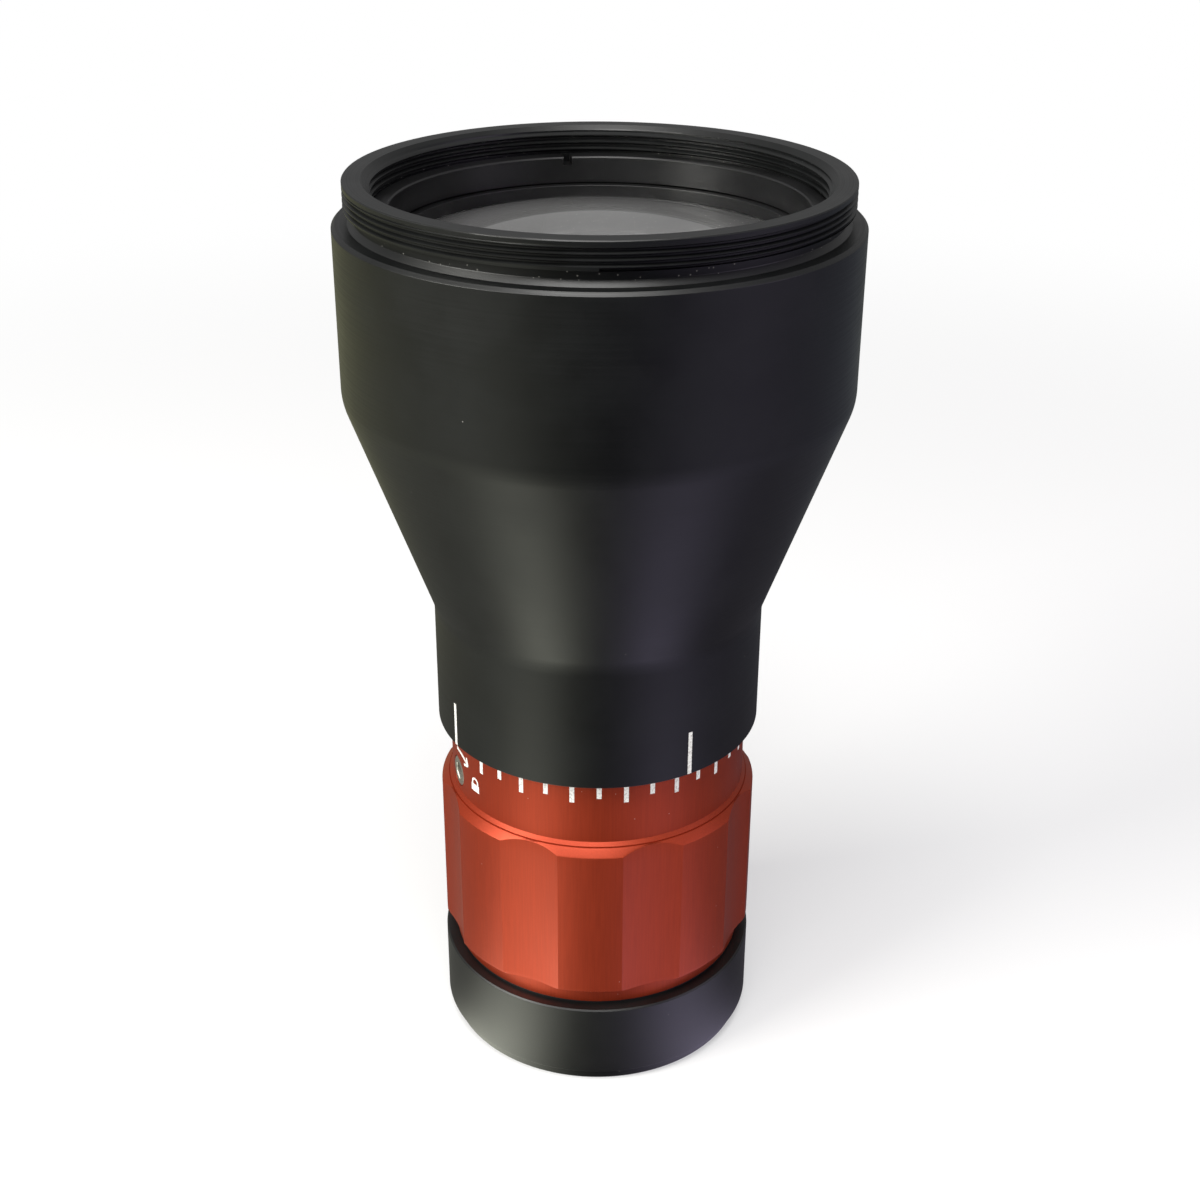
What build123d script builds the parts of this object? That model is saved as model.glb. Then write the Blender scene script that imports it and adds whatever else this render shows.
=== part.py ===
from build123d import *
import os
from math import cos, pi, radians, sin, sqrt

# Galilean beam expander, millimetres. It stands on its input end with the optical axis on +Z.
# Azimuths are degrees from -Y, positive towards +X, as seen by someone who faces the index line.

# Clearances
RUNNING_GAP = 0.08
STATIC_GAP = 0.05
FACE_GAP = 0.05
CEMENT_GAP = 0.02

# Heights of the outer steps, from the face it stands on
FOOT_HEIGHT = 1.15
BASE_HEIGHT = 7.5
WASHER_THICKNESS = 0.2
RECESS_HEIGHT = 1.8
GRIP_HEIGHT = 15.25
GRIP_CHAMFER = 1.1
SCALE_HEIGHT = 6.4
NECK_HEIGHT = 12.0
CONE_HEIGHT = 20.4
BARREL_HEIGHT = 15.0
RIM_HEIGHT = 3.6

# Guide tube, and the walls of the turned pieces around it
GUIDE_RADIUS = 12.0
GUIDE_WALL = 1.5
GUIDE_HEAD_STEP = 0.9
GUIDE_HEAD_LENGTH = 6.5
GUIDE_RELIEF = 0.5
HEAD_STOP_WIDTH = 1.3
HEAD_STOP_LENGTH = 1.6
COLLAR_WALL = 2.02
RECESS_STEP = 1.0
NECK_WALL = 1.07

# Base ring with the input thread
INPUT_THREAD_RADIUS = 12.8
INPUT_THREAD_DEPTH = 4.9
INPUT_CHAMFER = 0.4
FOOT_WALL = 1.95
BASE_STEP = 0.55

# Cemented doublet at the output end
OBJECTIVE_RADIUS = 19.05
OBJECTIVE_DEPTH = 3.5
CROWN_FRONT_CURVE = 56.0
CROWN_BACK_CURVE = 48.0
CROWN_EDGE = 2.1
FLINT_BACK_CURVE = 150.0
FLINT_THICKNESS = 3.0
SEAT_WIDTH = 1.75

# Rings over the doublet
OBJECTIVE_RING_DEPTH = 2.5
OBJECTIVE_RING_HEIGHT = 2.4
OBJECTIVE_RING_WIDTH = 1.58
SPACER_WIDTH = 2.05
SPANNER_SLOT_WIDTH = 0.8
SPANNER_SLOT_DEPTH = 0.75
OBJECTIVE_SLOT_AZIMUTH = -170.2

# Rim around the doublet. Threads are plain cylinders: the free outer one at its crest, the
# free inner one at its crest, and the stretch that holds the threaded ring at mid-thread.
LENS_PASSAGE = 0.06
MID_THREAD_RISE = 0.22
RIM_WALL = 2.34
RIM_OUTER_CHAMFER = 0.2
RIM_INNER_CHAMFER = 0.74
OUTER_THREAD_LENGTH = 2.3
RELIEF_DEPTH = 0.7
RELIEF_HEIGHT = 0.8
RELIEF_SLOPE = 0.4
SHOULDER_WIDTH = 1.05
SHOULDER_CHAMFER = 0.3
SOFT_EDGE_RADIUS = 5.0
EDGE_BREAK = 0.15

# Room for the spring washer and the thrust washer between the adjuster ring and the neck
SPIGOT_LENGTH = 2.2
THRUST_WASHER_THICKNESS = 0.5
SPRING_WASHER_THICKNESS = 0.2
SPRING_WASHER_RISE = 0.45
WASHER_WIDTH = 1.7

# Square-cut rubber rings that give the adjuster ring its drag
DRAG_RING_SECTION = 0.9
DRAG_RING_HEIGHT = 1.0
DRAG_GROOVE_DEPTH = 0.9
DRAG_GROOVE_HEIGHT = 1.2
UPPER_DRAG_RING_DROP = 2.0
LOWER_DRAG_RING_RISE = 2.0

# Adjuster ring: eight concave flutes, and two helical cam grooves in its bore
FLUTE_COUNT = 8
FLUTE_WIDTH_ANGLE = 22.2
FLUTE_DEPTH = 0.6
LAND_AZIMUTH = -2.35
SCRIBE_RISE = 0.32
SCRIBE_SIZE = 0.12
CAM_LEAD = 12.0
CAM_HALF_TURN = 120.0
CAM_END_MARGIN = 1.0
CAM_DEPTH = 1.1

# Lock screw in the scale collar
LOCK_AZIMUTH = -69.5
LOCK_RISE = 1.8
LOCK_SCREW_RADIUS = 1.45
LOCK_PAD_THICKNESS = 0.4
LOCK_SCREW_SINK = 0.1
HEX_SOCKET_ACROSS = 1.5
HEX_SOCKET_DEPTH = 0.9

# Lens cell, which slides in the guide tube on two lands
CELL_RISE = 9.1
CELL_LENGTH = 13.0
CELL_LAND = 2.6
CELL_RELIEF = 0.25
CELL_RIM_WIDTH = 1.82
INPUT_LENS_RADIUS = 6.35
INPUT_LENS_EDGE = 3.3
INPUT_LENS_CURVE = 15.5
INPUT_SEAT_WIDTH = 0.75
INPUT_SEAT_DROP = 1.0
INPUT_RING_HEIGHT = 1.45
INPUT_RING_WIDTH = 1.15
INPUT_RING_SLOT_WIDTH = 1.0
INPUT_RING_SLOT_DEPTH = 0.7

# Cam followers: a roller on a shoulder screw at each side of the cell
ROLLER_RADIUS = 1.75
FOLLOWER_SHOULDER_RADIUS = 0.85
FOLLOWER_THREAD_RADIUS = 0.7
FOLLOWER_THREAD_LENGTH = 2.6
FOLLOWER_HEAD_RADIUS = 1.25
FOLLOWER_HEAD_HEIGHT = 0.5
FOLLOWER_HEAD_GAP = 0.1
FOLLOWER_SLOT_WIDTH = 0.3
FOLLOWER_SLOT_DEPTH = 0.25


def sag(curve, radius):
    """Depth of a spherical surface of radius curve at a distance radius from its axis."""
    return curve - sqrt(curve**2 - radius**2)


def azimuth_point(radius, azimuth, height):
    """Point at a radius, azimuth and height."""
    return (radius * sin(radians(azimuth)), -radius * cos(radians(azimuth)), height)


def radial_plane(radius, azimuth, height):
    """Plane that faces outward at a radius, azimuth and height, with its local Y upward."""
    outward = (sin(radians(azimuth)), -cos(radians(azimuth)), 0)
    along = (cos(radians(azimuth)), sin(radians(azimuth)), 0)
    return Plane(origin=azimuth_point(radius, azimuth, height), x_dir=along, z_dir=outward)


def section_plane(azimuth):
    """Plane through the axis, with its local X outward at an azimuth and its local Y upward."""
    outward = (sin(radians(azimuth)), -cos(radians(azimuth)), 0)
    normal = (-cos(radians(azimuth)), -sin(radians(azimuth)), 0)
    return Plane(origin=(0, 0, 0), x_dir=outward, z_dir=normal)


def circle_edge(part, radius, height):
    """The circular edge of a turned piece nearest a radius and height."""
    return min(
        part.edges().filter_by(GeomType.CIRCLE),
        key=lambda edge: abs(edge.radius - radius) + abs(edge.center().Z - height),
    )


# Radii that follow from the sizes above
guide_bore = GUIDE_RADIUS - GUIDE_WALL
cell_radius = guide_bore - RUNNING_GAP
guide_head_radius = GUIDE_RADIUS + GUIDE_HEAD_STEP
head_stop_bore = guide_head_radius - HEAD_STOP_WIDTH
ring_bore = GUIDE_RADIUS + RUNNING_GAP
scale_radius = ring_bore + COLLAR_WALL
grip_radius = scale_radius + GRIP_CHAMFER
recess_radius = grip_radius - RECESS_STEP
skirt_bore = scale_radius + RUNNING_GAP
neck_radius = skirt_bore + NECK_WALL
foot_radius = INPUT_THREAD_RADIUS + FOOT_WALL
base_radius = foot_radius + BASE_STEP
lens_bore = OBJECTIVE_RADIUS + STATIC_GAP
seat_bore = OBJECTIVE_RADIUS - SEAT_WIDTH
inner_thread_radius = lens_bore + LENS_PASSAGE
mid_thread_radius = inner_thread_radius + MID_THREAD_RISE
outer_thread_radius = inner_thread_radius + RIM_WALL
relief_radius = outer_thread_radius - RELIEF_DEPTH
shoulder_radius = relief_radius + RELIEF_SLOPE
barrel_radius = outer_thread_radius + SHOULDER_WIDTH
cam_floor = ring_bore + CAM_DEPTH
cam_width = 2 * (ROLLER_RADIUS + RUNNING_GAP)
cam_travel = CAM_LEAD * CAM_HALF_TURN / 360

# Heights that follow from the sizes above
base_top = FOOT_HEIGHT + BASE_HEIGHT
ring_bottom = base_top + WASHER_THICKNESS + FACE_GAP
grip_bottom = ring_bottom + RECESS_HEIGHT
grip_top = grip_bottom + GRIP_HEIGHT
scale_bottom = grip_top + GRIP_CHAMFER
neck_bottom = scale_bottom + SCALE_HEIGHT
neck_top = neck_bottom + NECK_HEIGHT
cone_top = neck_top + CONE_HEIGHT
barrel_top = cone_top + BARREL_HEIGHT
rim_top = barrel_top + RIM_HEIGHT
ring_top = neck_bottom + SPIGOT_LENGTH
spring_room = SPRING_WASHER_THICKNESS + SPRING_WASHER_RISE
skirt_top = ring_top + THRUST_WASHER_THICKNESS + spring_room + 3 * FACE_GAP
guide_top = skirt_top + GUIDE_RELIEF + GUIDE_HEAD_LENGTH
guide_bottom = INPUT_THREAD_DEPTH + FACE_GAP
cell_middle = ring_bottom + CELL_RISE
cell_bottom = cell_middle - CELL_LENGTH / 2
cell_top = cell_middle + CELL_LENGTH / 2
slot_length = 2 * (cam_travel + FACE_GAP) + cam_width
drag_ring_heights = {
    "upper_drag_ring": ring_top - UPPER_DRAG_RING_DROP,
    "lower_drag_ring": cell_middle + slot_length / 2 + LOWER_DRAG_RING_RISE,
}
lock_height = scale_bottom + LOCK_RISE
objective_ring_top = rim_top - OBJECTIVE_RING_DEPTH
objective_ring_bottom = objective_ring_top - OBJECTIVE_RING_HEIGHT
lens_apex = rim_top - OBJECTIVE_DEPTH
crown_bulge = sag(CROWN_FRONT_CURVE, OBJECTIVE_RADIUS) + sag(CROWN_BACK_CURVE, OBJECTIVE_RADIUS)
cement_apex = lens_apex - crown_bulge - CROWN_EDGE
lens_back = cement_apex - CEMENT_GAP - FLINT_THICKNESS
seat_height = lens_back + sag(FLINT_BACK_CURVE, seat_bore) - FACE_GAP
thread_end = rim_top - OUTER_THREAD_LENGTH


os.makedirs("parts", exist_ok=True)


# Front barrel: rim, barrel, cone and neck turned from one bar and bored through.
with BuildPart() as front_barrel:
    with BuildSketch(Plane.XZ):
        with BuildLine():
            Polyline(
                (skirt_bore, neck_bottom),
                (neck_radius, neck_bottom),
                (neck_radius, neck_top),
                (barrel_radius, cone_top),
                (barrel_radius, barrel_top),
                (shoulder_radius, barrel_top),
                (relief_radius, thread_end - RELIEF_HEIGHT),
                (relief_radius, thread_end),
                (outer_thread_radius, thread_end),
                (outer_thread_radius, rim_top),
                (inner_thread_radius, rim_top),
                (inner_thread_radius, objective_ring_top + FACE_GAP),
                (mid_thread_radius, objective_ring_top + FACE_GAP),
                (mid_thread_radius, objective_ring_bottom - FACE_GAP),
                (lens_bore, objective_ring_bottom - FACE_GAP),
                (lens_bore, seat_height),
                (seat_bore, seat_height),
                (seat_bore, cone_top),
                (head_stop_bore, guide_top + STATIC_GAP + HEAD_STOP_LENGTH),
                (head_stop_bore, guide_top + STATIC_GAP),
                (guide_head_radius + STATIC_GAP, guide_top + STATIC_GAP),
                (guide_head_radius + STATIC_GAP, skirt_top),
                (skirt_bore, skirt_top),
                close=True,
            )
        make_face()
    revolve(axis=Axis.Z)
    fillet(circle_edge(front_barrel, barrel_radius, cone_top), SOFT_EDGE_RADIUS)
    fillet(circle_edge(front_barrel, neck_radius, neck_top), SOFT_EDGE_RADIUS)
    chamfer(circle_edge(front_barrel, barrel_radius, barrel_top), SHOULDER_CHAMFER)
    chamfer(circle_edge(front_barrel, outer_thread_radius, rim_top), RIM_OUTER_CHAMFER)
    chamfer(circle_edge(front_barrel, outer_thread_radius, thread_end), RIM_OUTER_CHAMFER)
    chamfer(circle_edge(front_barrel, inner_thread_radius, rim_top), RIM_INNER_CHAMFER)
    chamfer(circle_edge(front_barrel, neck_radius, neck_bottom), EDGE_BREAK)
front_barrel.part.label = "front_barrel"
export_step(front_barrel.part, "parts/front_barrel.step")


# Crown lens of the doublet: convex on both sides.
with BuildPart() as objective_crown_lens:
    with BuildSketch(Plane.XZ):
        front_edge = lens_apex - sag(CROWN_FRONT_CURVE, OBJECTIVE_RADIUS)
        back_edge = cement_apex + sag(CROWN_BACK_CURVE, OBJECTIVE_RADIUS)
        with BuildLine():
            RadiusArc((0, lens_apex), (OBJECTIVE_RADIUS, front_edge), CROWN_FRONT_CURVE)
            Line((OBJECTIVE_RADIUS, front_edge), (OBJECTIVE_RADIUS, back_edge))
            RadiusArc((OBJECTIVE_RADIUS, back_edge), (0, cement_apex), CROWN_BACK_CURVE)
            Line((0, cement_apex), (0, lens_apex))
        make_face()
    revolve(axis=Axis.Z)
objective_crown_lens.part.label = "objective_crown_lens"
export_step(objective_crown_lens.part, "parts/objective_crown_lens.step")


# Flint lens of the doublet: its hollow front takes the crown lens.
with BuildPart() as objective_flint_lens:
    with BuildSketch(Plane.XZ):
        flint_apex = cement_apex - CEMENT_GAP
        flint_front_edge = flint_apex + sag(CROWN_BACK_CURVE, OBJECTIVE_RADIUS)
        flint_back_edge = lens_back + sag(FLINT_BACK_CURVE, OBJECTIVE_RADIUS)
        with BuildLine():
            RadiusArc((OBJECTIVE_RADIUS, flint_front_edge), (0, flint_apex), CROWN_BACK_CURVE)
            Line((0, flint_apex), (0, lens_back))
            RadiusArc((OBJECTIVE_RADIUS, flint_back_edge), (0, lens_back), FLINT_BACK_CURVE)
            Line((OBJECTIVE_RADIUS, flint_back_edge), (OBJECTIVE_RADIUS, flint_front_edge))
        make_face()
    revolve(axis=Axis.Z)
objective_flint_lens.part.label = "objective_flint_lens"
export_step(objective_flint_lens.part, "parts/objective_flint_lens.step")


# Spacer ring: its lower face is hollowed to the crown lens, and the threaded ring bears on it.
spacer_top = objective_ring_bottom - FACE_GAP
spacer_bore = OBJECTIVE_RADIUS - SPACER_WIDTH
spacer_inner_foot = lens_apex - sag(CROWN_FRONT_CURVE, spacer_bore) + FACE_GAP
spacer_outer_foot = lens_apex - sag(CROWN_FRONT_CURVE, OBJECTIVE_RADIUS) + FACE_GAP
with BuildPart() as objective_spacer_ring:
    with BuildSketch(Plane.XZ):
        with BuildLine():
            Polyline(
                (spacer_bore, spacer_inner_foot),
                (spacer_bore, spacer_top),
                (OBJECTIVE_RADIUS, spacer_top),
                (OBJECTIVE_RADIUS, spacer_outer_foot),
            )
            RadiusArc(
                (spacer_bore, spacer_inner_foot),
                (OBJECTIVE_RADIUS, spacer_outer_foot),
                CROWN_FRONT_CURVE,
            )
        make_face()
    revolve(axis=Axis.Z)
objective_spacer_ring.part.label = "objective_spacer_ring"
export_step(objective_spacer_ring.part, "parts/objective_spacer_ring.step")


# Threaded retaining ring with two spanner slots across its top face.
objective_ring_radius = mid_thread_radius - STATIC_GAP
objective_ring_bore = objective_ring_radius - OBJECTIVE_RING_WIDTH
with BuildPart() as objective_retaining_ring:
    with BuildSketch(Plane.XY.offset(objective_ring_bottom)):
        Circle(objective_ring_radius)
        Circle(objective_ring_bore, mode=Mode.SUBTRACT)
    extrude(amount=OBJECTIVE_RING_HEIGHT)
    chamfer(
        circle_edge(objective_retaining_ring, objective_ring_bore, objective_ring_top),
        EDGE_BREAK,
    )
    with BuildSketch(radial_plane(0, OBJECTIVE_SLOT_AZIMUTH, objective_ring_top)):
        Rectangle(SPANNER_SLOT_WIDTH, 2 * SPANNER_SLOT_DEPTH)
    extrude(amount=barrel_radius, both=True, mode=Mode.SUBTRACT)
objective_retaining_ring.part.label = "objective_retaining_ring"
export_step(objective_retaining_ring.part, "parts/objective_retaining_ring.step")


# Guide tube: screwed up into the neck, with two ring grooves and two straight slots.
with BuildPart() as guide_tube:
    with BuildSketch(Plane.XY.offset(guide_bottom)):
        Circle(GUIDE_RADIUS)
    extrude(amount=guide_top - guide_bottom)
    with BuildSketch(Plane.XY.offset(skirt_top + GUIDE_RELIEF)):
        Circle(guide_head_radius)
    extrude(amount=GUIDE_HEAD_LENGTH)
    with BuildSketch(Plane.XZ):
        for groove_height in drag_ring_heights.values():
            with Locations((GUIDE_RADIUS, groove_height)):
                Rectangle(2 * DRAG_GROOVE_DEPTH, DRAG_GROOVE_HEIGHT)
    revolve(axis=Axis.Z, mode=Mode.SUBTRACT)
    with BuildSketch(Plane.XY.offset(guide_bottom)):
        Circle(guide_bore)
    extrude(amount=guide_top - guide_bottom, mode=Mode.SUBTRACT)
    with BuildSketch(Plane.YZ):
        with Locations((0, cell_middle)):
            SlotOverall(slot_length, cam_width, rotation=90)
    extrude(amount=barrel_radius, both=True, mode=Mode.SUBTRACT)
    chamfer(circle_edge(guide_tube, guide_head_radius, guide_top), EDGE_BREAK)
    chamfer(circle_edge(guide_tube, guide_bore, guide_bottom), EDGE_BREAK)
guide_tube.part.label = "guide_tube"
export_step(guide_tube.part, "parts/guide_tube.step")


# Square-cut rubber rings in the guide tube's grooves, which give the adjuster ring its drag.
drag_ring_bore = GUIDE_RADIUS - DRAG_GROOVE_DEPTH + STATIC_GAP / 2
for drag_ring_name, groove_height in drag_ring_heights.items():
    with BuildPart() as drag_ring:
        with BuildSketch(Plane.XY.offset(groove_height - DRAG_RING_HEIGHT / 2)):
            Circle(drag_ring_bore + DRAG_RING_SECTION)
            Circle(drag_ring_bore, mode=Mode.SUBTRACT)
        extrude(amount=DRAG_RING_HEIGHT)
    drag_ring.part.label = drag_ring_name
    export_step(drag_ring.part, f"parts/{drag_ring_name}.step")


# Adjuster ring: fluted grip below, scale collar above, and two cam grooves in its bore.
# Each flute is the side of a cylinder that meets the lands at both edges of the flute.
half_flute = radians(FLUTE_WIDTH_ANGLE / 2)
flute_rise = grip_radius * cos(half_flute) - (grip_radius - FLUTE_DEPTH)
flute_half_chord = grip_radius * sin(half_flute)
flute_cutter = (flute_half_chord**2 + flute_rise**2) / (2 * flute_rise)
flute_middle = grip_radius - FLUTE_DEPTH + flute_cutter
flute_azimuths = [LAND_AZIMUTH + 360 / FLUTE_COUNT * (n + 0.5) for n in range(FLUTE_COUNT)]
scribe_height = scale_bottom - SCRIBE_RISE
scribe_radius = scale_radius + SCRIBE_RISE
# A cam groove is a band about a helix. Its height along Z is the roller's width over the
# cosine of the helix angle, and a round blind pocket finishes each end.
cam_inner = ring_bore - CAM_DEPTH / 2
cam_middle_radius = (cam_inner + cam_floor) / 2
helix_slope = CAM_LEAD / (2 * pi * cam_middle_radius)
cam_band = cam_width * sqrt(1 + helix_slope**2)
cam_span = 2 * (CAM_HALF_TURN + CAM_END_MARGIN)
cam_rise = CAM_LEAD * cam_span / 360
cam_low = cell_middle - cam_rise / 2
with BuildPart() as adjuster_ring:
    with BuildSketch(Plane.XZ):
        with BuildLine():
            Polyline(
                (0, ring_bottom),
                (recess_radius, ring_bottom),
                (recess_radius, grip_bottom),
                (grip_radius - EDGE_BREAK, grip_bottom),
                (grip_radius, grip_bottom + EDGE_BREAK),
                (grip_radius, grip_top),
                (scribe_radius + SCRIBE_SIZE, scribe_height - SCRIBE_SIZE),
                (scribe_radius, scribe_height - SCRIBE_SIZE),
                (scribe_radius, scribe_height),
                (scale_radius, scale_bottom),
                (scale_radius, ring_top),
                (0, ring_top),
                close=True,
            )
        make_face()
    revolve(axis=Axis.Z)
    with BuildSketch(Plane.XY.offset(grip_bottom)):
        for azimuth in flute_azimuths:
            with Locations(azimuth_point(flute_middle, azimuth, 0)):
                Circle(flute_cutter)
    extrude(amount=GRIP_HEIGHT + GRIP_CHAMFER, mode=Mode.SUBTRACT)
    with BuildSketch(Plane.XY.offset(ring_bottom)):
        Circle(ring_bore)
    extrude(amount=ring_top - ring_bottom, mode=Mode.SUBTRACT)
    for side in (0, 180):
        cam_azimuth = side + 90 - cam_span / 2
        with BuildLine(Plane.XY.offset(cam_low)) as cam_helix:
            Helix(CAM_LEAD, cam_rise, cam_middle_radius)
        cam_path = cam_helix.wires()[0].rotate(Axis.Z, cam_azimuth - 90)
        with BuildSketch(section_plane(cam_azimuth)):
            with Locations((cam_middle_radius, cam_low)):
                Rectangle(cam_floor - cam_inner, cam_band)
        sweep(path=cam_path, is_frenet=True, mode=Mode.SUBTRACT)
        for end_azimuth, end_height in (
            (cam_azimuth, cam_low),
            (cam_azimuth + cam_span, cam_low + cam_rise),
        ):
            with BuildSketch(radial_plane(cam_inner, end_azimuth, end_height)):
                Circle(cam_width / 2)
            extrude(amount=cam_floor - cam_inner, mode=Mode.SUBTRACT)
        # Keyway from the lower end, through which the roller enters its groove.
        with BuildSketch(radial_plane(cam_inner, cam_azimuth, ring_bottom)):
            Rectangle(cam_width, cam_low - ring_bottom, align=(Align.CENTER, Align.MIN))
        extrude(amount=cam_floor - cam_inner, mode=Mode.SUBTRACT)
    # Tapped hole for the lock screw.
    with BuildSketch(radial_plane(cam_inner, LOCK_AZIMUTH, lock_height)):
        Circle(LOCK_SCREW_RADIUS + STATIC_GAP)
    extrude(amount=barrel_radius - GUIDE_RADIUS, mode=Mode.SUBTRACT)
adjuster_ring.part.label = "adjuster_ring"
export_step(adjuster_ring.part, "parts/adjuster_ring.step")


# Lock screw: a hex socket set screw with a nylon pad under it, which grips the guide tube.
pad_inner = ring_bore
screw_inner = pad_inner + LOCK_PAD_THICKNESS + FACE_GAP
screw_outer = scale_radius - LOCK_SCREW_SINK
with BuildPart() as lock_screw:
    with BuildSketch(radial_plane(screw_inner, LOCK_AZIMUTH, lock_height)):
        Circle(LOCK_SCREW_RADIUS)
    extrude(amount=screw_outer - screw_inner)
    chamfer(lock_screw.edges().filter_by(GeomType.CIRCLE), EDGE_BREAK)
    with BuildSketch(radial_plane(screw_outer - HEX_SOCKET_DEPTH, LOCK_AZIMUTH, lock_height)):
        RegularPolygon(HEX_SOCKET_ACROSS / 2, 6, major_radius=False)
    extrude(amount=HEX_SOCKET_DEPTH, mode=Mode.SUBTRACT)
lock_screw.part.label = "lock_screw"
export_step(lock_screw.part, "parts/lock_screw.step")

with BuildPart() as lock_pad:
    with BuildSketch(radial_plane(pad_inner, LOCK_AZIMUTH, lock_height)):
        Circle(LOCK_SCREW_RADIUS - EDGE_BREAK)
    extrude(amount=LOCK_PAD_THICKNESS)
lock_pad.part.label = "lock_pad"
export_step(lock_pad.part, "parts/lock_pad.step")


# Thrust washer of plastic on top of the adjuster ring.
washer_inner = ring_bore
thrust_bottom = ring_top + FACE_GAP
with BuildPart() as upper_thrust_washer:
    with BuildSketch(Plane.XY.offset(thrust_bottom)):
        Circle(washer_inner + WASHER_WIDTH)
        Circle(washer_inner, mode=Mode.SUBTRACT)
    extrude(amount=THRUST_WASHER_THICKNESS)
upper_thrust_washer.part.label = "upper_thrust_washer"
export_step(upper_thrust_washer.part, "parts/upper_thrust_washer.step")


# Curved spring washer: a flat ring rolled to an arc, which takes up the end play.
spring_bottom = thrust_bottom + THRUST_WASHER_THICKNESS + FACE_GAP
spring_outer = washer_inner + WASHER_WIDTH
spring_curve = (spring_outer**2 + SPRING_WASHER_RISE**2) / (2 * SPRING_WASHER_RISE)
spring_arc_middle = spring_bottom + SPRING_WASHER_RISE - spring_curve
with BuildPart() as spring_washer:
    with BuildSketch(Plane.XY.offset(spring_bottom)):
        Circle(spring_outer)
        Circle(washer_inner, mode=Mode.SUBTRACT)
    extrude(amount=spring_room)
    with BuildSketch(Plane.XZ):
        with Locations((0, spring_arc_middle)):
            Circle(spring_curve + SPRING_WASHER_THICKNESS)
            Circle(spring_curve, mode=Mode.SUBTRACT)
    extrude(amount=barrel_radius, both=True, mode=Mode.INTERSECT)
spring_washer.part.label = "spring_washer"
export_step(spring_washer.part, "parts/spring_washer.step")


# Lower thrust washer: thin plastic between the adjuster ring and the base ring.
with BuildPart() as lower_thrust_washer:
    with BuildSketch(Plane.XY.offset(base_top)):
        Circle(recess_radius - RUNNING_GAP)
        Circle(washer_inner, mode=Mode.SUBTRACT)
    extrude(amount=WASHER_THICKNESS)
lower_thrust_washer.part.label = "lower_thrust_washer"
export_step(lower_thrust_washer.part, "parts/lower_thrust_washer.step")


# Base ring: screwed on the guide tube's lower end, with the input thread below.
with BuildPart() as base_ring:
    with BuildSketch(Plane.XZ):
        with BuildLine():
            Polyline(
                (INPUT_THREAD_RADIUS, 0),
                (foot_radius, 0),
                (foot_radius, FOOT_HEIGHT),
                (base_radius, FOOT_HEIGHT),
                (base_radius, base_top),
                (GUIDE_RADIUS + STATIC_GAP, base_top),
                (GUIDE_RADIUS + STATIC_GAP, INPUT_THREAD_DEPTH),
                (INPUT_THREAD_RADIUS, INPUT_THREAD_DEPTH),
                close=True,
            )
        make_face()
    revolve(axis=Axis.Z)
    chamfer(circle_edge(base_ring, foot_radius, 0), EDGE_BREAK)
    chamfer(circle_edge(base_ring, base_radius, FOOT_HEIGHT), EDGE_BREAK)
    chamfer(circle_edge(base_ring, base_radius, base_top), EDGE_BREAK)
    chamfer(circle_edge(base_ring, INPUT_THREAD_RADIUS, 0), INPUT_CHAMFER)
base_ring.part.label = "base_ring"
export_step(base_ring.part, "parts/base_ring.step")


# Lens cell: slides in the guide tube, and holds the input lens from below.
seat_top = cell_middle - INPUT_SEAT_DROP
cell_lens_bore = INPUT_LENS_RADIUS + STATIC_GAP
cell_flare_radius = cell_radius - CELL_RIM_WIDTH
input_seat_radius = INPUT_LENS_RADIUS - INPUT_SEAT_WIDTH
with BuildPart() as lens_cell:
    with BuildSketch(Plane.XZ):
        with BuildLine():
            Polyline(
                (cell_lens_bore, cell_bottom),
                (cell_radius, cell_bottom),
                (cell_radius, cell_bottom + CELL_LAND),
                (cell_radius - CELL_RELIEF, cell_bottom + CELL_LAND),
                (cell_radius - CELL_RELIEF, cell_top - CELL_LAND),
                (cell_radius, cell_top - CELL_LAND),
                (cell_radius, cell_top),
                (cell_flare_radius, cell_top),
                (input_seat_radius, seat_top),
                (cell_lens_bore, seat_top),
                close=True,
            )
        make_face()
    revolve(axis=Axis.Z)
    chamfer(circle_edge(lens_cell, cell_radius, cell_bottom), EDGE_BREAK)
    chamfer(circle_edge(lens_cell, cell_radius, cell_top), EDGE_BREAK)
    for side in (90, 270):
        tapped_end = cell_radius - CELL_RELIEF - FOLLOWER_THREAD_LENGTH - STATIC_GAP
        with BuildSketch(radial_plane(tapped_end, side, cell_middle)):
            Circle(FOLLOWER_THREAD_RADIUS + STATIC_GAP)
        extrude(amount=FOLLOWER_THREAD_LENGTH + CELL_RELIEF + STATIC_GAP, mode=Mode.SUBTRACT)
lens_cell.part.label = "lens_cell"
export_step(lens_cell.part, "parts/lens_cell.step")


# Input lens: flat above and hollow below.
lens_top = seat_top - FACE_GAP
lens_rim = lens_top - INPUT_LENS_EDGE
lens_hollow = lens_rim + sag(INPUT_LENS_CURVE, INPUT_LENS_RADIUS)
with BuildPart() as input_lens:
    with BuildSketch(Plane.XZ):
        with BuildLine():
            RadiusArc((0, lens_hollow), (INPUT_LENS_RADIUS, lens_rim), INPUT_LENS_CURVE)
            Polyline(
                (INPUT_LENS_RADIUS, lens_rim),
                (INPUT_LENS_RADIUS, lens_top),
                (0, lens_top),
                (0, lens_hollow),
            )
        make_face()
    revolve(axis=Axis.Z)
input_lens.part.label = "input_lens"
export_step(input_lens.part, "parts/input_lens.step")


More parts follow.
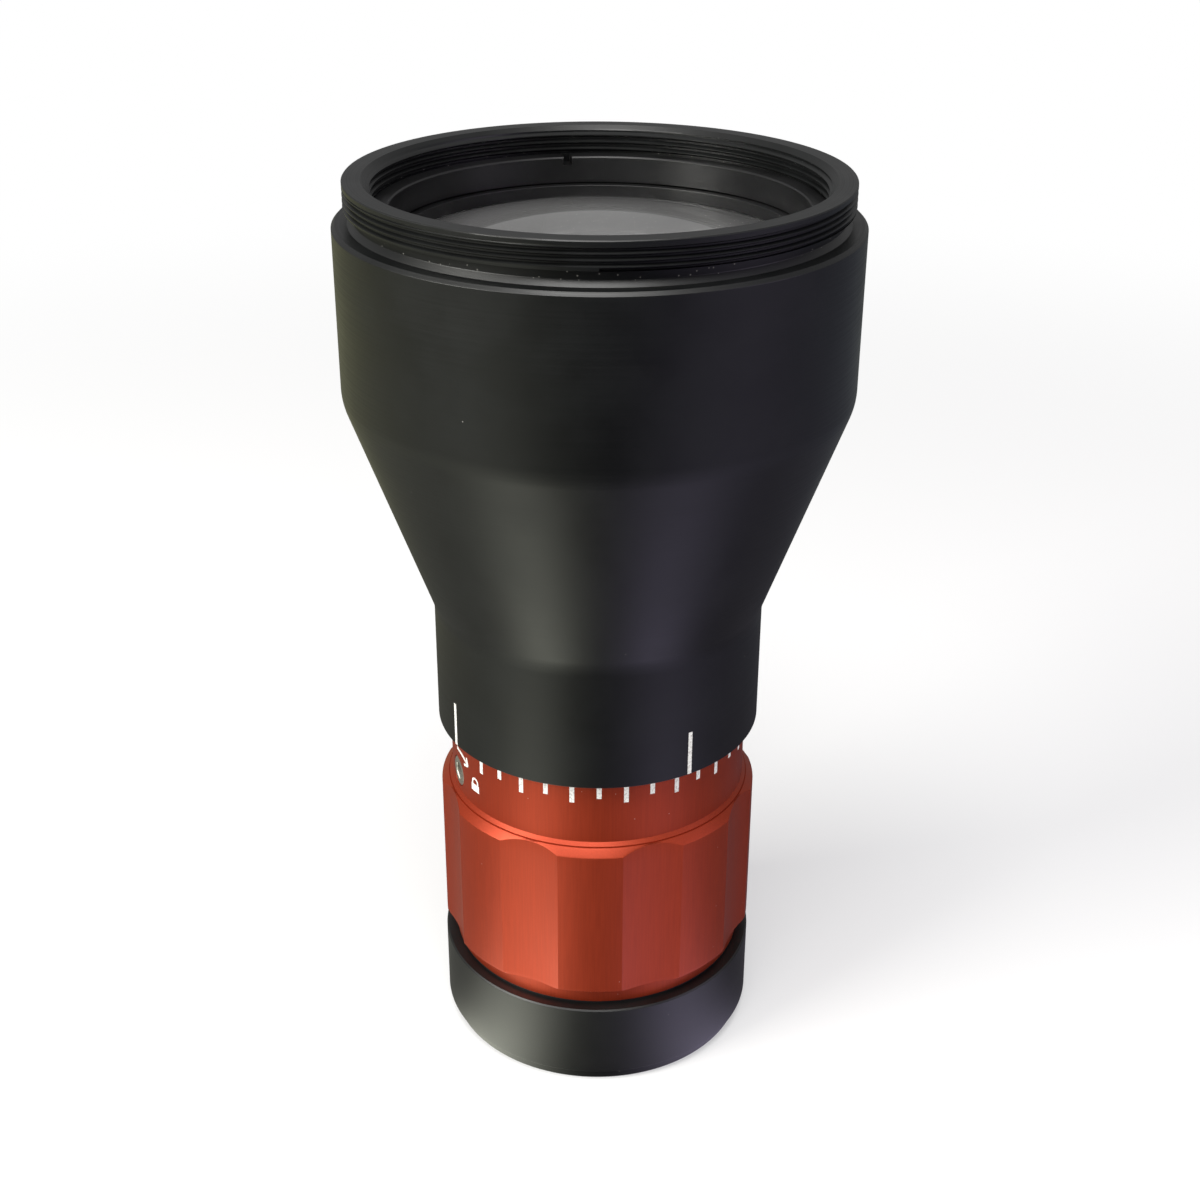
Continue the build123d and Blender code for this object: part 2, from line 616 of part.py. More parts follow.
# Threaded ring that holds the input lens up against its seat.
input_ring_bottom = lens_rim - FACE_GAP - INPUT_RING_HEIGHT
input_ring_bore = INPUT_LENS_RADIUS - INPUT_RING_WIDTH
with BuildPart() as input_lens_retaining_ring:
    with BuildSketch(Plane.XY.offset(input_ring_bottom)):
        Circle(INPUT_LENS_RADIUS)
        Circle(input_ring_bore, mode=Mode.SUBTRACT)
    extrude(amount=INPUT_RING_HEIGHT)
    with BuildSketch(Plane.XZ):
        with Locations((0, input_ring_bottom)):
            Rectangle(INPUT_RING_SLOT_WIDTH, 2 * INPUT_RING_SLOT_DEPTH)
    extrude(amount=GUIDE_RADIUS, both=True, mode=Mode.SUBTRACT)
input_lens_retaining_ring.part.label = "input_lens_retaining_ring"
export_step(input_lens_retaining_ring.part, "parts/input_lens_retaining_ring.step")


# Cam followers: a bronze roller on a shoulder screw at each side of the cell.
shoulder_start = cell_radius - CELL_RELIEF
roller_inner = cell_radius + FACE_GAP
roller_outer = sqrt(cam_floor**2 - ROLLER_RADIUS**2) - FACE_GAP
head_inner = roller_outer - FOLLOWER_HEAD_HEIGHT
for letter, side in (("a", 90), ("b", 270)):
    with BuildPart() as follower_roller:
        with BuildSketch(radial_plane(roller_inner, side, cell_middle)):
            Circle(ROLLER_RADIUS)
            Circle(FOLLOWER_SHOULDER_RADIUS + STATIC_GAP, mode=Mode.SUBTRACT)
        extrude(amount=roller_outer - roller_inner)
        with BuildSketch(radial_plane(roller_outer, side, cell_middle)):
            Circle(FOLLOWER_HEAD_RADIUS + FOLLOWER_HEAD_GAP)
        extrude(amount=-FOLLOWER_HEAD_HEIGHT - FOLLOWER_HEAD_GAP, mode=Mode.SUBTRACT)
    follower_roller.part.label = f"follower_roller_{letter}"
    export_step(follower_roller.part, f"parts/follower_roller_{letter}.step")

    with BuildPart() as follower_screw:
        thread_start = shoulder_start - FOLLOWER_THREAD_LENGTH
        with BuildSketch(radial_plane(thread_start, side, cell_middle)):
            Circle(FOLLOWER_THREAD_RADIUS)
        extrude(amount=FOLLOWER_THREAD_LENGTH)
        with BuildSketch(radial_plane(shoulder_start, side, cell_middle)):
            Circle(FOLLOWER_SHOULDER_RADIUS)
        extrude(amount=head_inner - shoulder_start)
        with BuildSketch(radial_plane(head_inner, side, cell_middle)):
            Circle(FOLLOWER_HEAD_RADIUS)
        extrude(amount=FOLLOWER_HEAD_HEIGHT)
        with BuildSketch(radial_plane(roller_outer, side, cell_middle)):
            Rectangle(2 * FOLLOWER_HEAD_RADIUS, FOLLOWER_SLOT_WIDTH)
        extrude(amount=-FOLLOWER_SLOT_DEPTH, mode=Mode.SUBTRACT)
    follower_screw.part.label = f"follower_screw_{letter}"
    export_step(follower_screw.part, f"parts/follower_screw_{letter}.step")
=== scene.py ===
from math import cos, pi, radians, sin

import bpy
import numpy as np
from mathutils import Matrix


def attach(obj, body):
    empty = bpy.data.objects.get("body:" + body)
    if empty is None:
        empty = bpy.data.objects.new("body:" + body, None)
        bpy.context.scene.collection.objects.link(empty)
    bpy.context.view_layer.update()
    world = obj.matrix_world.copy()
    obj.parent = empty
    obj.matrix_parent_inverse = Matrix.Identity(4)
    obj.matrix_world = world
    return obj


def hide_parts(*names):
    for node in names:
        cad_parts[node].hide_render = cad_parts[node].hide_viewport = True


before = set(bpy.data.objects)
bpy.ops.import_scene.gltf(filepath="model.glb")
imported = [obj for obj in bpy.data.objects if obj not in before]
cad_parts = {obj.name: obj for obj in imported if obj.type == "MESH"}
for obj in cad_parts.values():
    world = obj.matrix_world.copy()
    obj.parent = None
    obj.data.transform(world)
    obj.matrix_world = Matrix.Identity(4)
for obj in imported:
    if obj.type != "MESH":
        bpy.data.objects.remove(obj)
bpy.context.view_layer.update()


# The camera stands about 147 mm in front of the optical axis and 118 mm above the floor, and looks
# 26 degrees down. Its small roll and shift are the ones that the ellipses of the turned steps give.
mm = 0.001
camera_place = (0.16 * mm, -146.48 * mm, 117.9 * mm)
camera_pitch = 26.076
camera_roll = 0.26
camera_data = bpy.data.cameras.new("camera")
camera_data.lens = 52.5
camera_data.sensor_width = 36
camera_data.shift_y = -0.0133
camera_data.clip_start = 10 * mm
camera = bpy.data.objects.new("camera", camera_data)
bpy.context.scene.collection.objects.link(camera)
camera.matrix_world = (
    Matrix.Translation(camera_place)
    @ Matrix.Rotation(radians(90 - camera_pitch), 4, "X")
    @ Matrix.Rotation(radians(camera_roll), 4, "Z")
)
bpy.context.scene.camera = camera
bpy.context.scene.view_settings.view_transform = "Standard"


# Studio: a white paper floor that keeps the shadow, in a pale room. Metal and glass mirror a darker
# room in front and pools of light on the floor at both sides. There are three soft lamps.
def add(tree, kind, sockets=None, **settings):
    """Adds a node, sets its settings and fills its sockets: a value is set, an output is linked."""
    made = tree.nodes.new(kind)
    for name, value in settings.items():
        setattr(made, name, value)
    for name, value in (sockets or {}).items():
        if isinstance(value, bpy.types.NodeSocket):
            tree.links.new(value, made.inputs[name])
        else:
            made.inputs[name].default_value = value
    return made


def calc(tree, operation, *values):
    """The result of a Math node."""
    return add(tree, "ShaderNodeMath", dict(enumerate(values)), operation=operation).outputs[0]


def ramp(tree, value, low, high, to_low=0.0, to_high=1.0):
    """value from low..high to to_low..to_high, with a smooth start and end."""
    sockets = {"Value": value, 1: low, 2: high, 3: to_low, 4: to_high}
    made = add(tree, "ShaderNodeMapRange", sockets, interpolation_type="SMOOTHSTEP")
    return made.outputs[0]


def colour_mix(tree, factor, first, second):
    """first where factor is 0, second where it is 1."""
    sockets = {0: factor, 6: first, 7: second}
    return add(tree, "ShaderNodeMix", sockets, data_type="RGBA").outputs[2]


def axes_of(tree, kind="Object"):
    """The X, Y and Z outputs of an Object coordinate, or of a ray's direction in the world."""
    coordinate = add(tree, "ShaderNodeTexCoord").outputs[kind]
    return add(tree, "ShaderNodeSeparateXYZ", {0: coordinate}).outputs


def distance_from_axis(tree, x, y):
    """Distance of the point (x, y) from the optical axis."""
    squares = calc(tree, "ADD", calc(tree, "MULTIPLY", x, x), calc(tree, "MULTIPLY", y, y))
    return calc(tree, "SQRT", squares)


white = (1, 1, 1, 1)
world = bpy.data.worlds.new("room")
world.use_nodes = True
bpy.context.scene.world = world
room = world.node_tree
room.nodes.clear()
light_path = add(room, "ShaderNodeLightPath").outputs
_, back, up = axes_of(room, "Generated")
room_front = (0.035, 0.036, 0.040, 1)
room_back = (0.30, 0.30, 0.30, 1)
room_ceiling = (0.45, 0.45, 0.45, 1)
room_fill = (0.34, 0.34, 0.35, 1)
seen_in_gloss = colour_mix(room, ramp(room, back, -0.3, 0.6), room_front, room_back)
seen_in_gloss = colour_mix(room, ramp(room, up, 0.45, 0.9), seen_in_gloss, room_ceiling)
level = colour_mix(room, light_path["Is Glossy Ray"], room_fill, seen_in_gloss)
plain_white = calc(room, "MAXIMUM", light_path["Is Camera Ray"], light_path["Is Transmission Ray"])
level = colour_mix(room, plain_white, level, white)
sky = add(room, "ShaderNodeBackground", {"Color": level})
add(room, "ShaderNodeOutputWorld", {"Surface": sky.outputs[0]})
world.cycles.sampling_method = "NONE"

floor_half = 3000 * mm
paper_colour = (0.86, 0.86, 0.86, 1)
shadow_start, shadow_end, shadow_share = 110, 330, 0.42
floor_mesh = bpy.data.meshes.new("floor")
floor_corners = [(-1, -1, 0), (1, -1, 0), (1, 1, 0), (-1, 1, 0)]
floor_mesh.from_pydata([[v * floor_half for v in p] for p in floor_corners], [], [(0, 1, 2, 3)])
floor = bpy.data.objects.new("floor", floor_mesh)
bpy.context.scene.collection.objects.link(floor)
paper = bpy.data.materials.new("floor_paper")
paper.use_nodes = True
tree = paper.node_tree
tree.nodes.clear()
light_path = add(tree, "ShaderNodeLightPath").outputs
x, y, _ = axes_of(tree)
distance = distance_from_axis(tree, x, y)


def pool_of_light(azimuth, strength, reach, sharpness, clear, colour):
    """Light on the floor towards an azimuth: strength / (1 + distance / reach), times a power of the
    cosine of the angle from that azimuth. It fades in up to the clear distance. Lengths in mm."""
    toward = calc(tree, "ADD", calc(tree, "MULTIPLY", x, sin(radians(azimuth))),
                  calc(tree, "MULTIPLY", y, -cos(radians(azimuth))))
    cosine = calc(tree, "MAXIMUM", calc(tree, "DIVIDE", toward, distance), 0.0)
    spread = calc(tree, "ADD", calc(tree, "DIVIDE", distance, reach * mm), 1.0)
    fading = calc(tree, "DIVIDE", strength, spread)
    value = calc(tree, "MULTIPLY", calc(tree, "POWER", cosine, sharpness), fading)
    value = calc(tree, "MULTIPLY", value, ramp(tree, distance, clear / 3 * mm, clear * mm))
    sockets = {0: colour, "Scale": value}
    return add(tree, "ShaderNodeVectorMath", sockets, operation="SCALE").outputs[0]


seen_in_gloss = (0.015, 0.015, 0.018)
for pool in (
    pool_of_light(-42, 9.0, 12, 14, 1, (1.0, 1.02, 0.86)),
    pool_of_light(-76, 0.75, 150, 6, 130, (1.0, 1.02, 0.82)),
    pool_of_light(0, 0.05, 130, 2, 1, (1.0, 1.0, 0.96)),
    pool_of_light(42, 2.0, 30, 12, 1, (0.95, 0.86, 1.22)),
    pool_of_light(70, 0.40, 150, 6, 130, (0.95, 0.90, 1.22)),
    pool_of_light(-108, 0.30, 120, 2, 1, (1.0, 1.0, 0.86)),
    pool_of_light(112, 0.14, 120, 2, 1, (1.0, 0.94, 1.1)),
    pool_of_light(-150, 0.40, 900, 2, 170, (1.0, 1.0, 0.50)),
    pool_of_light(150, 0.16, 900, 2, 170, (0.85, 1.0, 1.2)),
):
    sockets = {0: seen_in_gloss, 1: pool}
    seen_in_gloss = add(tree, "ShaderNodeVectorMath", sockets, operation="ADD").outputs[0]
white_share = ramp(tree, distance, shadow_start * mm, shadow_end * mm, shadow_share, 1.0)
plain_white = calc(tree, "MAXIMUM", light_path["Is Camera Ray"], light_path["Is Transmission Ray"])
colour = colour_mix(tree, plain_white, seen_in_gloss, white)
glow = add(tree, "ShaderNodeEmission", {"Color": colour, "Strength": 1.0})
matt = add(tree, "ShaderNodeBsdfDiffuse", {"Color": paper_colour})
mirrored = calc(tree, "MAXIMUM", light_path["Is Glossy Ray"], light_path["Is Transmission Ray"])
seen_directly = calc(tree, "MULTIPLY", white_share, light_path["Is Camera Ray"])
share = calc(tree, "MAXIMUM", seen_directly, mirrored)
mixed = add(tree, "ShaderNodeMixShader", {0: share, 1: matt.outputs[0], 2: glow.outputs[0]})
add(tree, "ShaderNodeOutputMaterial", {"Surface": mixed.outputs[0]})
paper.cycles.emission_sampling = "NONE"
floor_mesh.materials.append(paper)


lamp_distance, lit_height = 500 * mm, 42 * mm


def lamp(name, azimuth, elevation, width, height, power, colour):
    """Rectangular lamp that points at the middle of the object from an azimuth and elevation."""
    data = bpy.data.lights.new(name, "AREA")
    data.shape = "RECTANGLE"
    data.size, data.size_y = width, height
    data.energy = power
    data.color = colour
    made = bpy.data.objects.new(name, data)
    bpy.context.scene.collection.objects.link(made)
    made.matrix_world = (
        Matrix.Translation((0, 0, lit_height))
        @ Matrix.Rotation(radians(azimuth), 4, "Z")
        @ Matrix.Rotation(radians(90 - elevation), 4, "X")
        @ Matrix.Translation((0, 0, lamp_distance))
    )
    made.visible_camera = False


lamp("lamp_left", -62, 30, 0.24, 0.28, 2.7, (1.0, 0.99, 0.93))
lamp("lamp_top", -8, 66, 0.26, 0.20, 1.8, (1.0, 0.99, 0.97))
lamp("lamp_right", 70, 18, 0.30, 0.36, 0.5, (0.85, 0.74, 1.0))


# Front barrel: turned from one aluminium bar, with the output thread cut on its rim, the lens thread
# in its mouth, a cone down to the neck and a skirt over the adjuster. Black anodised all over.
def outline(*corners):
    """Rows (r, z) of a turned outline, from corners (r, z) or (r, z, edge radius). A corner with a
    radius becomes an arc tangent to both sides, with one more row on each side to keep it flat."""
    points = []
    for n, corner in enumerate(corners):
        here = np.array(corner[:2], float)
        radius = corner[2] if len(corner) > 2 else 0
        if radius == 0:
            points.append(here)
            continue
        before = np.array(corners[n - 1][:2], float) - here
        after = np.array(corners[n + 1][:2], float) - here
        before /= np.linalg.norm(before)
        after /= np.linalg.norm(after)
        between = np.arccos(np.clip(before @ after, -1, 1))
        reach = radius / np.tan(between / 2)
        inward = (before + after) / np.linalg.norm(before + after)
        centre = here + inward * radius / sin(between / 2)
        turn = pi - between
        steps = 16 if radius > 1 else 5
        start, end = here + before * reach - centre, here + after * reach - centre
        points.append(here + before * (reach + radius * 0.3))
        for share in np.linspace(0, 1, steps):
            spoke = sin((1 - share) * turn) * start + sin(share * turn) * end
            points.append(centre + spoke / sin(turn))
        points.append(here + after * (reach + radius * 0.3))
    return np.array(points)


def carried(rows, theta):
    """The r and z of outline rows, the same at every angle."""
    rows = np.asarray(rows, float)
    return rows[:, :1] + 0 * theta, rows[:, 1:2] + 0 * theta


def thread_rows(bottom, top, pitch, crest, root, theta, start=0.0):
    """r and z of a one-start thread between two heights. A row climbs one pitch a turn,
    z = row height + pitch * angle / 360, cut off at bottom and top. The radius is a wave of the row's
    place in the pitch: a flat crest, a straight flank, a flat root and a straight flank."""
    places = np.array([0, 0.0625, 0.16, 0.27, 0.375, 0.625, 0.73, 0.84, 0.9375])
    turns = np.arange(-1, int((top - bottom) / pitch) + 3)
    heights = bottom + start + pitch * (turns[:, None] + places).ravel()
    z = np.clip(heights[:, None] + pitch * theta / (2 * pi), bottom, top)
    place = ((z - bottom - start) / pitch - theta / (2 * pi)) % 1
    wave = np.interp(place, [0, 0.0625, 0.375, 0.625, 0.9375, 1], [0, 0, 1, 1, 0, 0])
    return crest + (root - crest) * wave, z


def stacked(*blocks):
    """Blocks of rows joined to one closed outline: the first row comes again at the end."""
    r = np.vstack([block[0] for block in blocks])
    z = np.vstack([block[1] for block in blocks])
    return np.vstack((r, r[:1])), np.vstack((z, z[:1]))


def smooth_piece(name, points, material, second=None, second_rows=(), sharp=30):
    """A closed mesh from a grid of points in millimetres: points that meet are welded, each cell is
    two triangles, and cells with no area are left out. Edges over the sharp angle stay sharp."""
    rows, columns = points.shape[:2]
    flat = points.reshape(-1, 3) * mm
    _, first, index = np.unique(
        np.round(flat * 1e8).astype(np.int64), axis=0, return_index=True, return_inverse=True
    )
    index = index.reshape(rows, columns)
    a, b, c, d = index[:-1, :-1], index[:-1, 1:], index[1:, 1:], index[1:, :-1]
    faces = np.stack((np.stack((a, b, c), -1), np.stack((a, c, d), -1)), 2)
    row_of = np.broadcast_to(np.arange(rows - 1)[:, None, None], faces.shape[:3]).ravel()
    faces = faces.reshape(-1, 3)
    solid = (faces != np.roll(faces, 1, axis=1)).all(axis=1)
    faces, row_of = faces[solid], row_of[solid]
    mesh = bpy.data.meshes.new(name)
    mesh.vertices.add(len(first))
    mesh.vertices.foreach_set("co", flat[first].ravel())
    mesh.loops.add(3 * len(faces))
    mesh.loops.foreach_set("vertex_index", faces.ravel())
    mesh.polygons.add(len(faces))
    mesh.polygons.foreach_set("loop_start", np.arange(0, 3 * len(faces), 3))
    mesh.update(calc_edges=True)
    mesh.materials.append(material)
    if second:
        mesh.materials.append(second)
        mesh.polygons.foreach_set("material_index", np.isin(row_of, second_rows).astype(np.int32))
    mesh.shade_smooth()
    mesh.set_sharp_from_angle(angle=radians(sharp))
    made = bpy.data.objects.new(name, mesh)
    bpy.context.scene.collection.objects.link(made)
    return made


def turned(r, z, theta):
    """Points of rows (r, z) turned about the optical axis, from -Y towards +X."""
    return np.stack((r * np.sin(theta), -r * np.cos(theta), z + 0 * theta), -1)


def settle(piece, body, slot, *nodes):
    """Tells the frame what the piece rides on and hides the nodes that it stands for. slot, its
    finish, is not used.
    """
    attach(piece, body)
    if nodes:
        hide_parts(*nodes)


def new_group(name, inputs, outputs):
    """An empty shader node group with its inputs (name: default) and outputs (name: kind)."""
    group = bpy.data.node_groups.new(name, "ShaderNodeTree")
    for label, value in inputs.items():
        made = group.interface.new_socket(label, in_out="INPUT", socket_type="NodeSocketFloat")
        made.default_value = value
    for label, kind in outputs.items():
        group.interface.new_socket(label, in_out="OUTPUT", socket_type=kind)
    return group, add(group, "NodeGroupInput").outputs, add(group, "NodeGroupOutput").inputs


def noise(tree, scale, detail, place=None):
    """Noise at a place, which is the point in the object's own coordinates if none is given."""
    if place is None:
        place = add(tree, "ShaderNodeTexCoord").outputs["Object"]
    sockets = {"Vector": place, "Scale": scale, "Detail": detail}
    return add(tree, "ShaderNodeTexNoise", sockets).outputs[0]


def raised(tree, height, depth, strength=1.0):
    """The normal of a bump of a height and its depth in mm."""
    sockets = {"Height": height, "Distance": depth * mm, "Strength": strength}
    return add(tree, "ShaderNodeBump", sockets).outputs[0]


# Lathe marks: noise read at (distance from the axis, height), so that it makes rings.
lathe_marks, given, result = new_group(
    "lathe_marks", {"Spacing": 0.1}, {"Height": "NodeSocketFloat"}
)
x, y, z = axes_of(lathe_marks)
from_axis = distance_from_axis(lathe_marks, x, y)
ring_place = add(lathe_marks, "ShaderNodeCombineXYZ", {0: from_axis, 2: z}).outputs[0]
ring_scale = calc(lathe_marks, "DIVIDE", 1 / mm, given["Spacing"])
lathe_marks.links.new(noise(lathe_marks, ring_scale, 2.0, ring_place), result["Height"])

# Etched skin: the fine grain that etching leaves under the anodising, and slow cloudy patches.
etched_skin, given, result = new_group(
    "etched_skin", {"Grain": 0.05}, {"Height": "NodeSocketFloat", "Cloud": "NodeSocketFloat"}
)
grain_scale = calc(etched_skin, "DIVIDE", 1 / mm, given["Grain"])
etched_skin.links.new(noise(etched_skin, grain_scale, 3.0), result["Height"])
etched_skin.links.new(noise(etched_skin, 160.0, 4.0), result["Cloud"])

# Dust specks: one possible speck in each cell of the given size, and only some cells have one.
dust_specks, given, result = new_group(
    "dust_specks", {"Cell": 2.0, "Speck": 0.05, "Share": 0.5}, {"Mask": "NodeSocketFloat"}
)
place = add(dust_specks, "ShaderNodeTexCoord").outputs["Object"]
cell_scale = calc(dust_specks, "DIVIDE", 1 / mm, given["Cell"])
cells = add(dust_specks, "ShaderNodeTexVoronoi", {"Vector": place, "Scale": cell_scale})
speck_reach = calc(dust_specks, "DIVIDE", given["Speck"], given["Cell"])
near = calc(dust_specks, "LESS_THAN", cells.outputs["Distance"], speck_reach)
luck = add(dust_specks, "ShaderNodeSeparateColor", {0: cells.outputs["Color"]}).outputs[0]
chosen = calc(dust_specks, "LESS_THAN", luck, given["Share"])
dust_specks.links.new(calc(dust_specks, "MULTIPLY", near, chosen), result["Mask"])


def placed_group(tree, group, **values):
    """A group's node in a material, with the material's own values."""
    made = add(tree, "ShaderNodeGroup", node_tree=group)
    for label, value in values.items():
        made.inputs[label].default_value = value
    return made.outputs


def new_material(name):
    """A material with its Principled shader, and its node tree."""
    made = bpy.data.materials.new(name)
    made.use_nodes = True
    return made, made.node_tree, made.node_tree.nodes["Principled BSDF"]


def fill(shader, **sockets):
    """Sets or links sockets of a shader, with _ for a space in their names."""
    for label, value in sockets.items():
        socket = shader.inputs[label.replace("_", " ")]
        if isinstance(value, bpy.types.NodeSocket):
            shader.id_data.links.new(value, socket)
        else:
            socket.default_value = value


skin_depth = 0.004
dust_on_black, dust_on_red = (0.17, 0.165, 0.15, 1), (0.55, 0.30, 0.24, 1)


def black_anodise(name, base, roughness, groove_dust=None):
    """Dyed black oxide on turned aluminium: deep neutral black, satin, with faint lathe rings, etched
    grain and stray dust. groove_dust is the two heights in mm between which dust has gathered."""
    made, tree, shader = new_material(name)
    rings = placed_group(tree, lathe_marks, Spacing=0.09)
    skin = placed_group(tree, etched_skin, Grain=0.05)
    specks = placed_group(tree, dust_specks, Cell=2.2, Speck=0.055, Share=0.25)["Mask"]
    if groove_dust:
        crumbs = placed_group(tree, dust_specks, Cell=0.42, Speck=0.06, Share=0.5)["Mask"]
        height = axes_of(tree)[2]
        low, high = groove_dust
        inside = calc(tree, "COMPARE", height, (low + high) / 2 * mm, (high - low) / 2 * mm)
        specks = calc(tree, "MAXIMUM", specks, calc(tree, "MULTIPLY", crumbs, inside))
    pale = tuple(1.5 * v for v in base) + (1,)
    deep = tuple(0.7 * v for v in base) + (1,)
    colour = colour_mix(tree, ramp(tree, skin["Cloud"], 0.3, 0.7), deep, pale)
    colour = colour_mix(tree, specks, colour, dust_on_black)
    satin = ramp(tree, skin["Cloud"], 0.3, 0.7, roughness - 0.03, roughness + 0.03)
    satin = calc(tree, "ADD", satin, ramp(tree, rings["Height"], 0.3, 0.7, -0.03, 0.03))
    satin = calc(tree, "MAXIMUM", satin, calc(tree, "MULTIPLY", specks, 0.8))
    relief = calc(tree, "MULTIPLY", calc(tree, "ADD", rings["Height"], skin["Height"]), 0.5)
    normal = raised(tree, relief, skin_depth)
    fill(shader, Base_Color=colour, Roughness=satin, Normal=normal)
    return made


barrel_dye = (0.0020, 0.0024, 0.0025)
barrel_black = black_anodise("barrel_black", barrel_dye, 0.39, groove_dust=(81.3, 82.2))

neck_bottom, neck_top, cone_top, barrel_top, rim_top = 33.45, 45.45, 65.85, 80.85, 84.45
neck_radius, barrel_radius, skirt_bore = 15.25, 22.55, 14.18
relief_radius, relief_bottom, thread_bottom = 20.8, 81.35, 82.15
output_pitch, output_crest, output_root, output_chamfer = 0.5, 21.5, 21.2, 0.08
output_start, output_land, blunt_length = 0.30, 84.04, 0.1
mouth_pitch, mouth_crest, mouth_root, mouth_chamfer = 0.635, 19.16, 19.495, 0.74
mouth_start = 0.05
mouth_bottom, ring_seat_bottom, lens_seat = 82.0, 79.5, 69.5
ring_seat_radius, lens_bore, seat_bore = 19.38, 19.10, 17.3
skirt_middle, skirt_top, tube_thread_radius, tube_thread_top = 14.7, 36.95, 12.95, 44.0
throat_radius, throat_top = 11.6, 45.6
tiny_edge, skirt_chamfer, shoulder_chamfer, blend_radius = 0.06, 0.12, 0.3, 5.0

around = np.linspace(0, 2 * pi, 361)
r_out, z_out = thread_rows(
    thread_bottom, rim_top, output_pitch, output_crest, output_root, around, output_start
)
blunt_start = np.clip((output_land - z_out) / blunt_length, 0, 1)
r_out = output_crest - (output_crest - r_out) * blunt_start
r_out = np.minimum(r_out, output_crest - output_chamfer + rim_top - z_out)
r_out = np.minimum(r_out, output_crest - output_chamfer + z_out - thread_bottom)
r_in, z_in = thread_rows(
    mouth_bottom, rim_top, mouth_pitch, mouth_crest, mouth_root, around, mouth_start
)
r_in = np.maximum(r_in, mouth_crest + mouth_chamfer - (rim_top - z_in))
outside = outline(
    (skirt_middle, neck_bottom),
    (neck_radius - skirt_chamfer, neck_bottom, 0.03),
    (neck_radius, neck_bottom + skirt_chamfer, 0.03),
    (neck_radius, neck_top, blend_radius),
    (barrel_radius, cone_top, blend_radius),
    (barrel_radius, barrel_top - shoulder_chamfer, tiny_edge),
    (barrel_radius - shoulder_chamfer, barrel_top, tiny_edge),
    (relief_radius + 0.4, barrel_top, 0.04),
    (relief_radius, relief_bottom, 0.1),
    (relief_radius, thread_bottom, 0.1),
    (output_crest - output_chamfer, thread_bottom),
)
rim_face = outline(
    (output_crest - output_chamfer, rim_top),
    (output_crest - output_chamfer - 0.06, rim_top),
    (mouth_crest + mouth_chamfer + 0.06, rim_top),
    (mouth_crest + mouth_chamfer, rim_top),
)
inside = outline(
    (ring_seat_radius, mouth_bottom),
    (ring_seat_radius, ring_seat_bottom),
    (lens_bore, ring_seat_bottom),
    (lens_bore, lens_seat),
    (seat_bore + 0.1, lens_seat),
    (seat_bore, lens_seat - 0.1),
    (seat_bore, cone_top),
    (throat_radius, throat_top),
    (throat_radius, tube_thread_top),
    (tube_thread_radius, tube_thread_top),
    (tube_thread_radius, skirt_top),
    (skirt_bore, skirt_top),
    (skirt_bore, neck_bottom + 0.1, 0.03),
    (skirt_bore + 0.1, neck_bottom, 0.03),
    (skirt_middle, neck_bottom),
)
r, z = stacked(
    carried(outside, around),
    (r_out, z_out),
    carried(rim_face, around),
    (r_in[::-1], z_in[::-1]),
    carried(inside[:-1], around),
)
barrel = smooth_piece("barrel", turned(r, z, around), barrel_black)
settle(barrel, "housing", "black_anodise", "front_barrel")


# Spacer ring: a plain ring, turned from aluminium and anodised black. It bears on the crown lens
# and is hollowed below to the lens's curve.
crown_curve, crown_apex, spacer_bore, spacer_radius, spacer_top = 56.0, 80.95, 17.0, 19.05, 79.45


def sag(curve, radius):
    """Depth of a spherical surface of radius curve at a distance radius from its axis."""
    return curve - np.sqrt(curve**2 - radius**2)


lens_clearance, spacer_middle = 0.05, 78.5
foot_radii = np.linspace(spacer_bore, spacer_radius, 6)
foot_heights = crown_apex - sag(crown_curve, foot_radii) + lens_clearance
foot = np.stack((foot_radii, foot_heights), -1)
spacer_wall = outline(
    (spacer_radius, spacer_middle),
    (spacer_radius, spacer_top, 0.05),
    (spacer_bore, spacer_top, 0.05),
    (spacer_bore, foot_heights[0]),
)
ring_black = black_anodise("ring_black", (0.0050, 0.0050, 0.0054), 0.36)
r, z = stacked(carried(foot, around), carried(spacer_wall, around))
spacer = smooth_piece("spacer_ring", turned(r, z, around), ring_black)
settle(spacer, "housing", "black_anodise", "objective_spacer_ring")


# Retaining ring: screwed into the mouth on top of the spacer, with two slots across its upper face
# for a spanner wrench, and a bright thin line where its inner edge is broken.
def slotted(rows, columns, slot_width, slot_floor, azimuth, upward=True):
    """Points of a turned ring with a slot across it, the same on both sides of the axis. Columns in
    the slot lie at even distances across it, angle = asin(distance / r), and their rows stop at the
    slot's floor. The other columns share the angle that is left."""
    r, z = rows[:, :1], rows[:, 1:2]
    across = np.linspace(-slot_width / 2, slot_width / 2, 7)
    in_slot = np.arcsin(across / r)
    edge = np.arcsin(slot_width / 2 / r)
    share = np.linspace(0, 1, columns)
    on_land = edge + (pi - 2 * edge) * share
    theta = np.hstack((in_slot, on_land, in_slot + pi, on_land + pi, in_slot[:, :1] + 2 * pi))
    cut = np.zeros(theta.shape[1], bool)
    cut[: len(across)] = True
    cut[len(across) + columns : 2 * len(across) + columns] = True
    cut[-1] = True
    stop = np.minimum if upward else np.maximum
    height = np.where(cut, stop(z, slot_floor), z + 0 * theta)
    angle = theta + radians(azimuth)
    return np.stack((r * np.sin(angle), -r * np.cos(angle), height), -1)


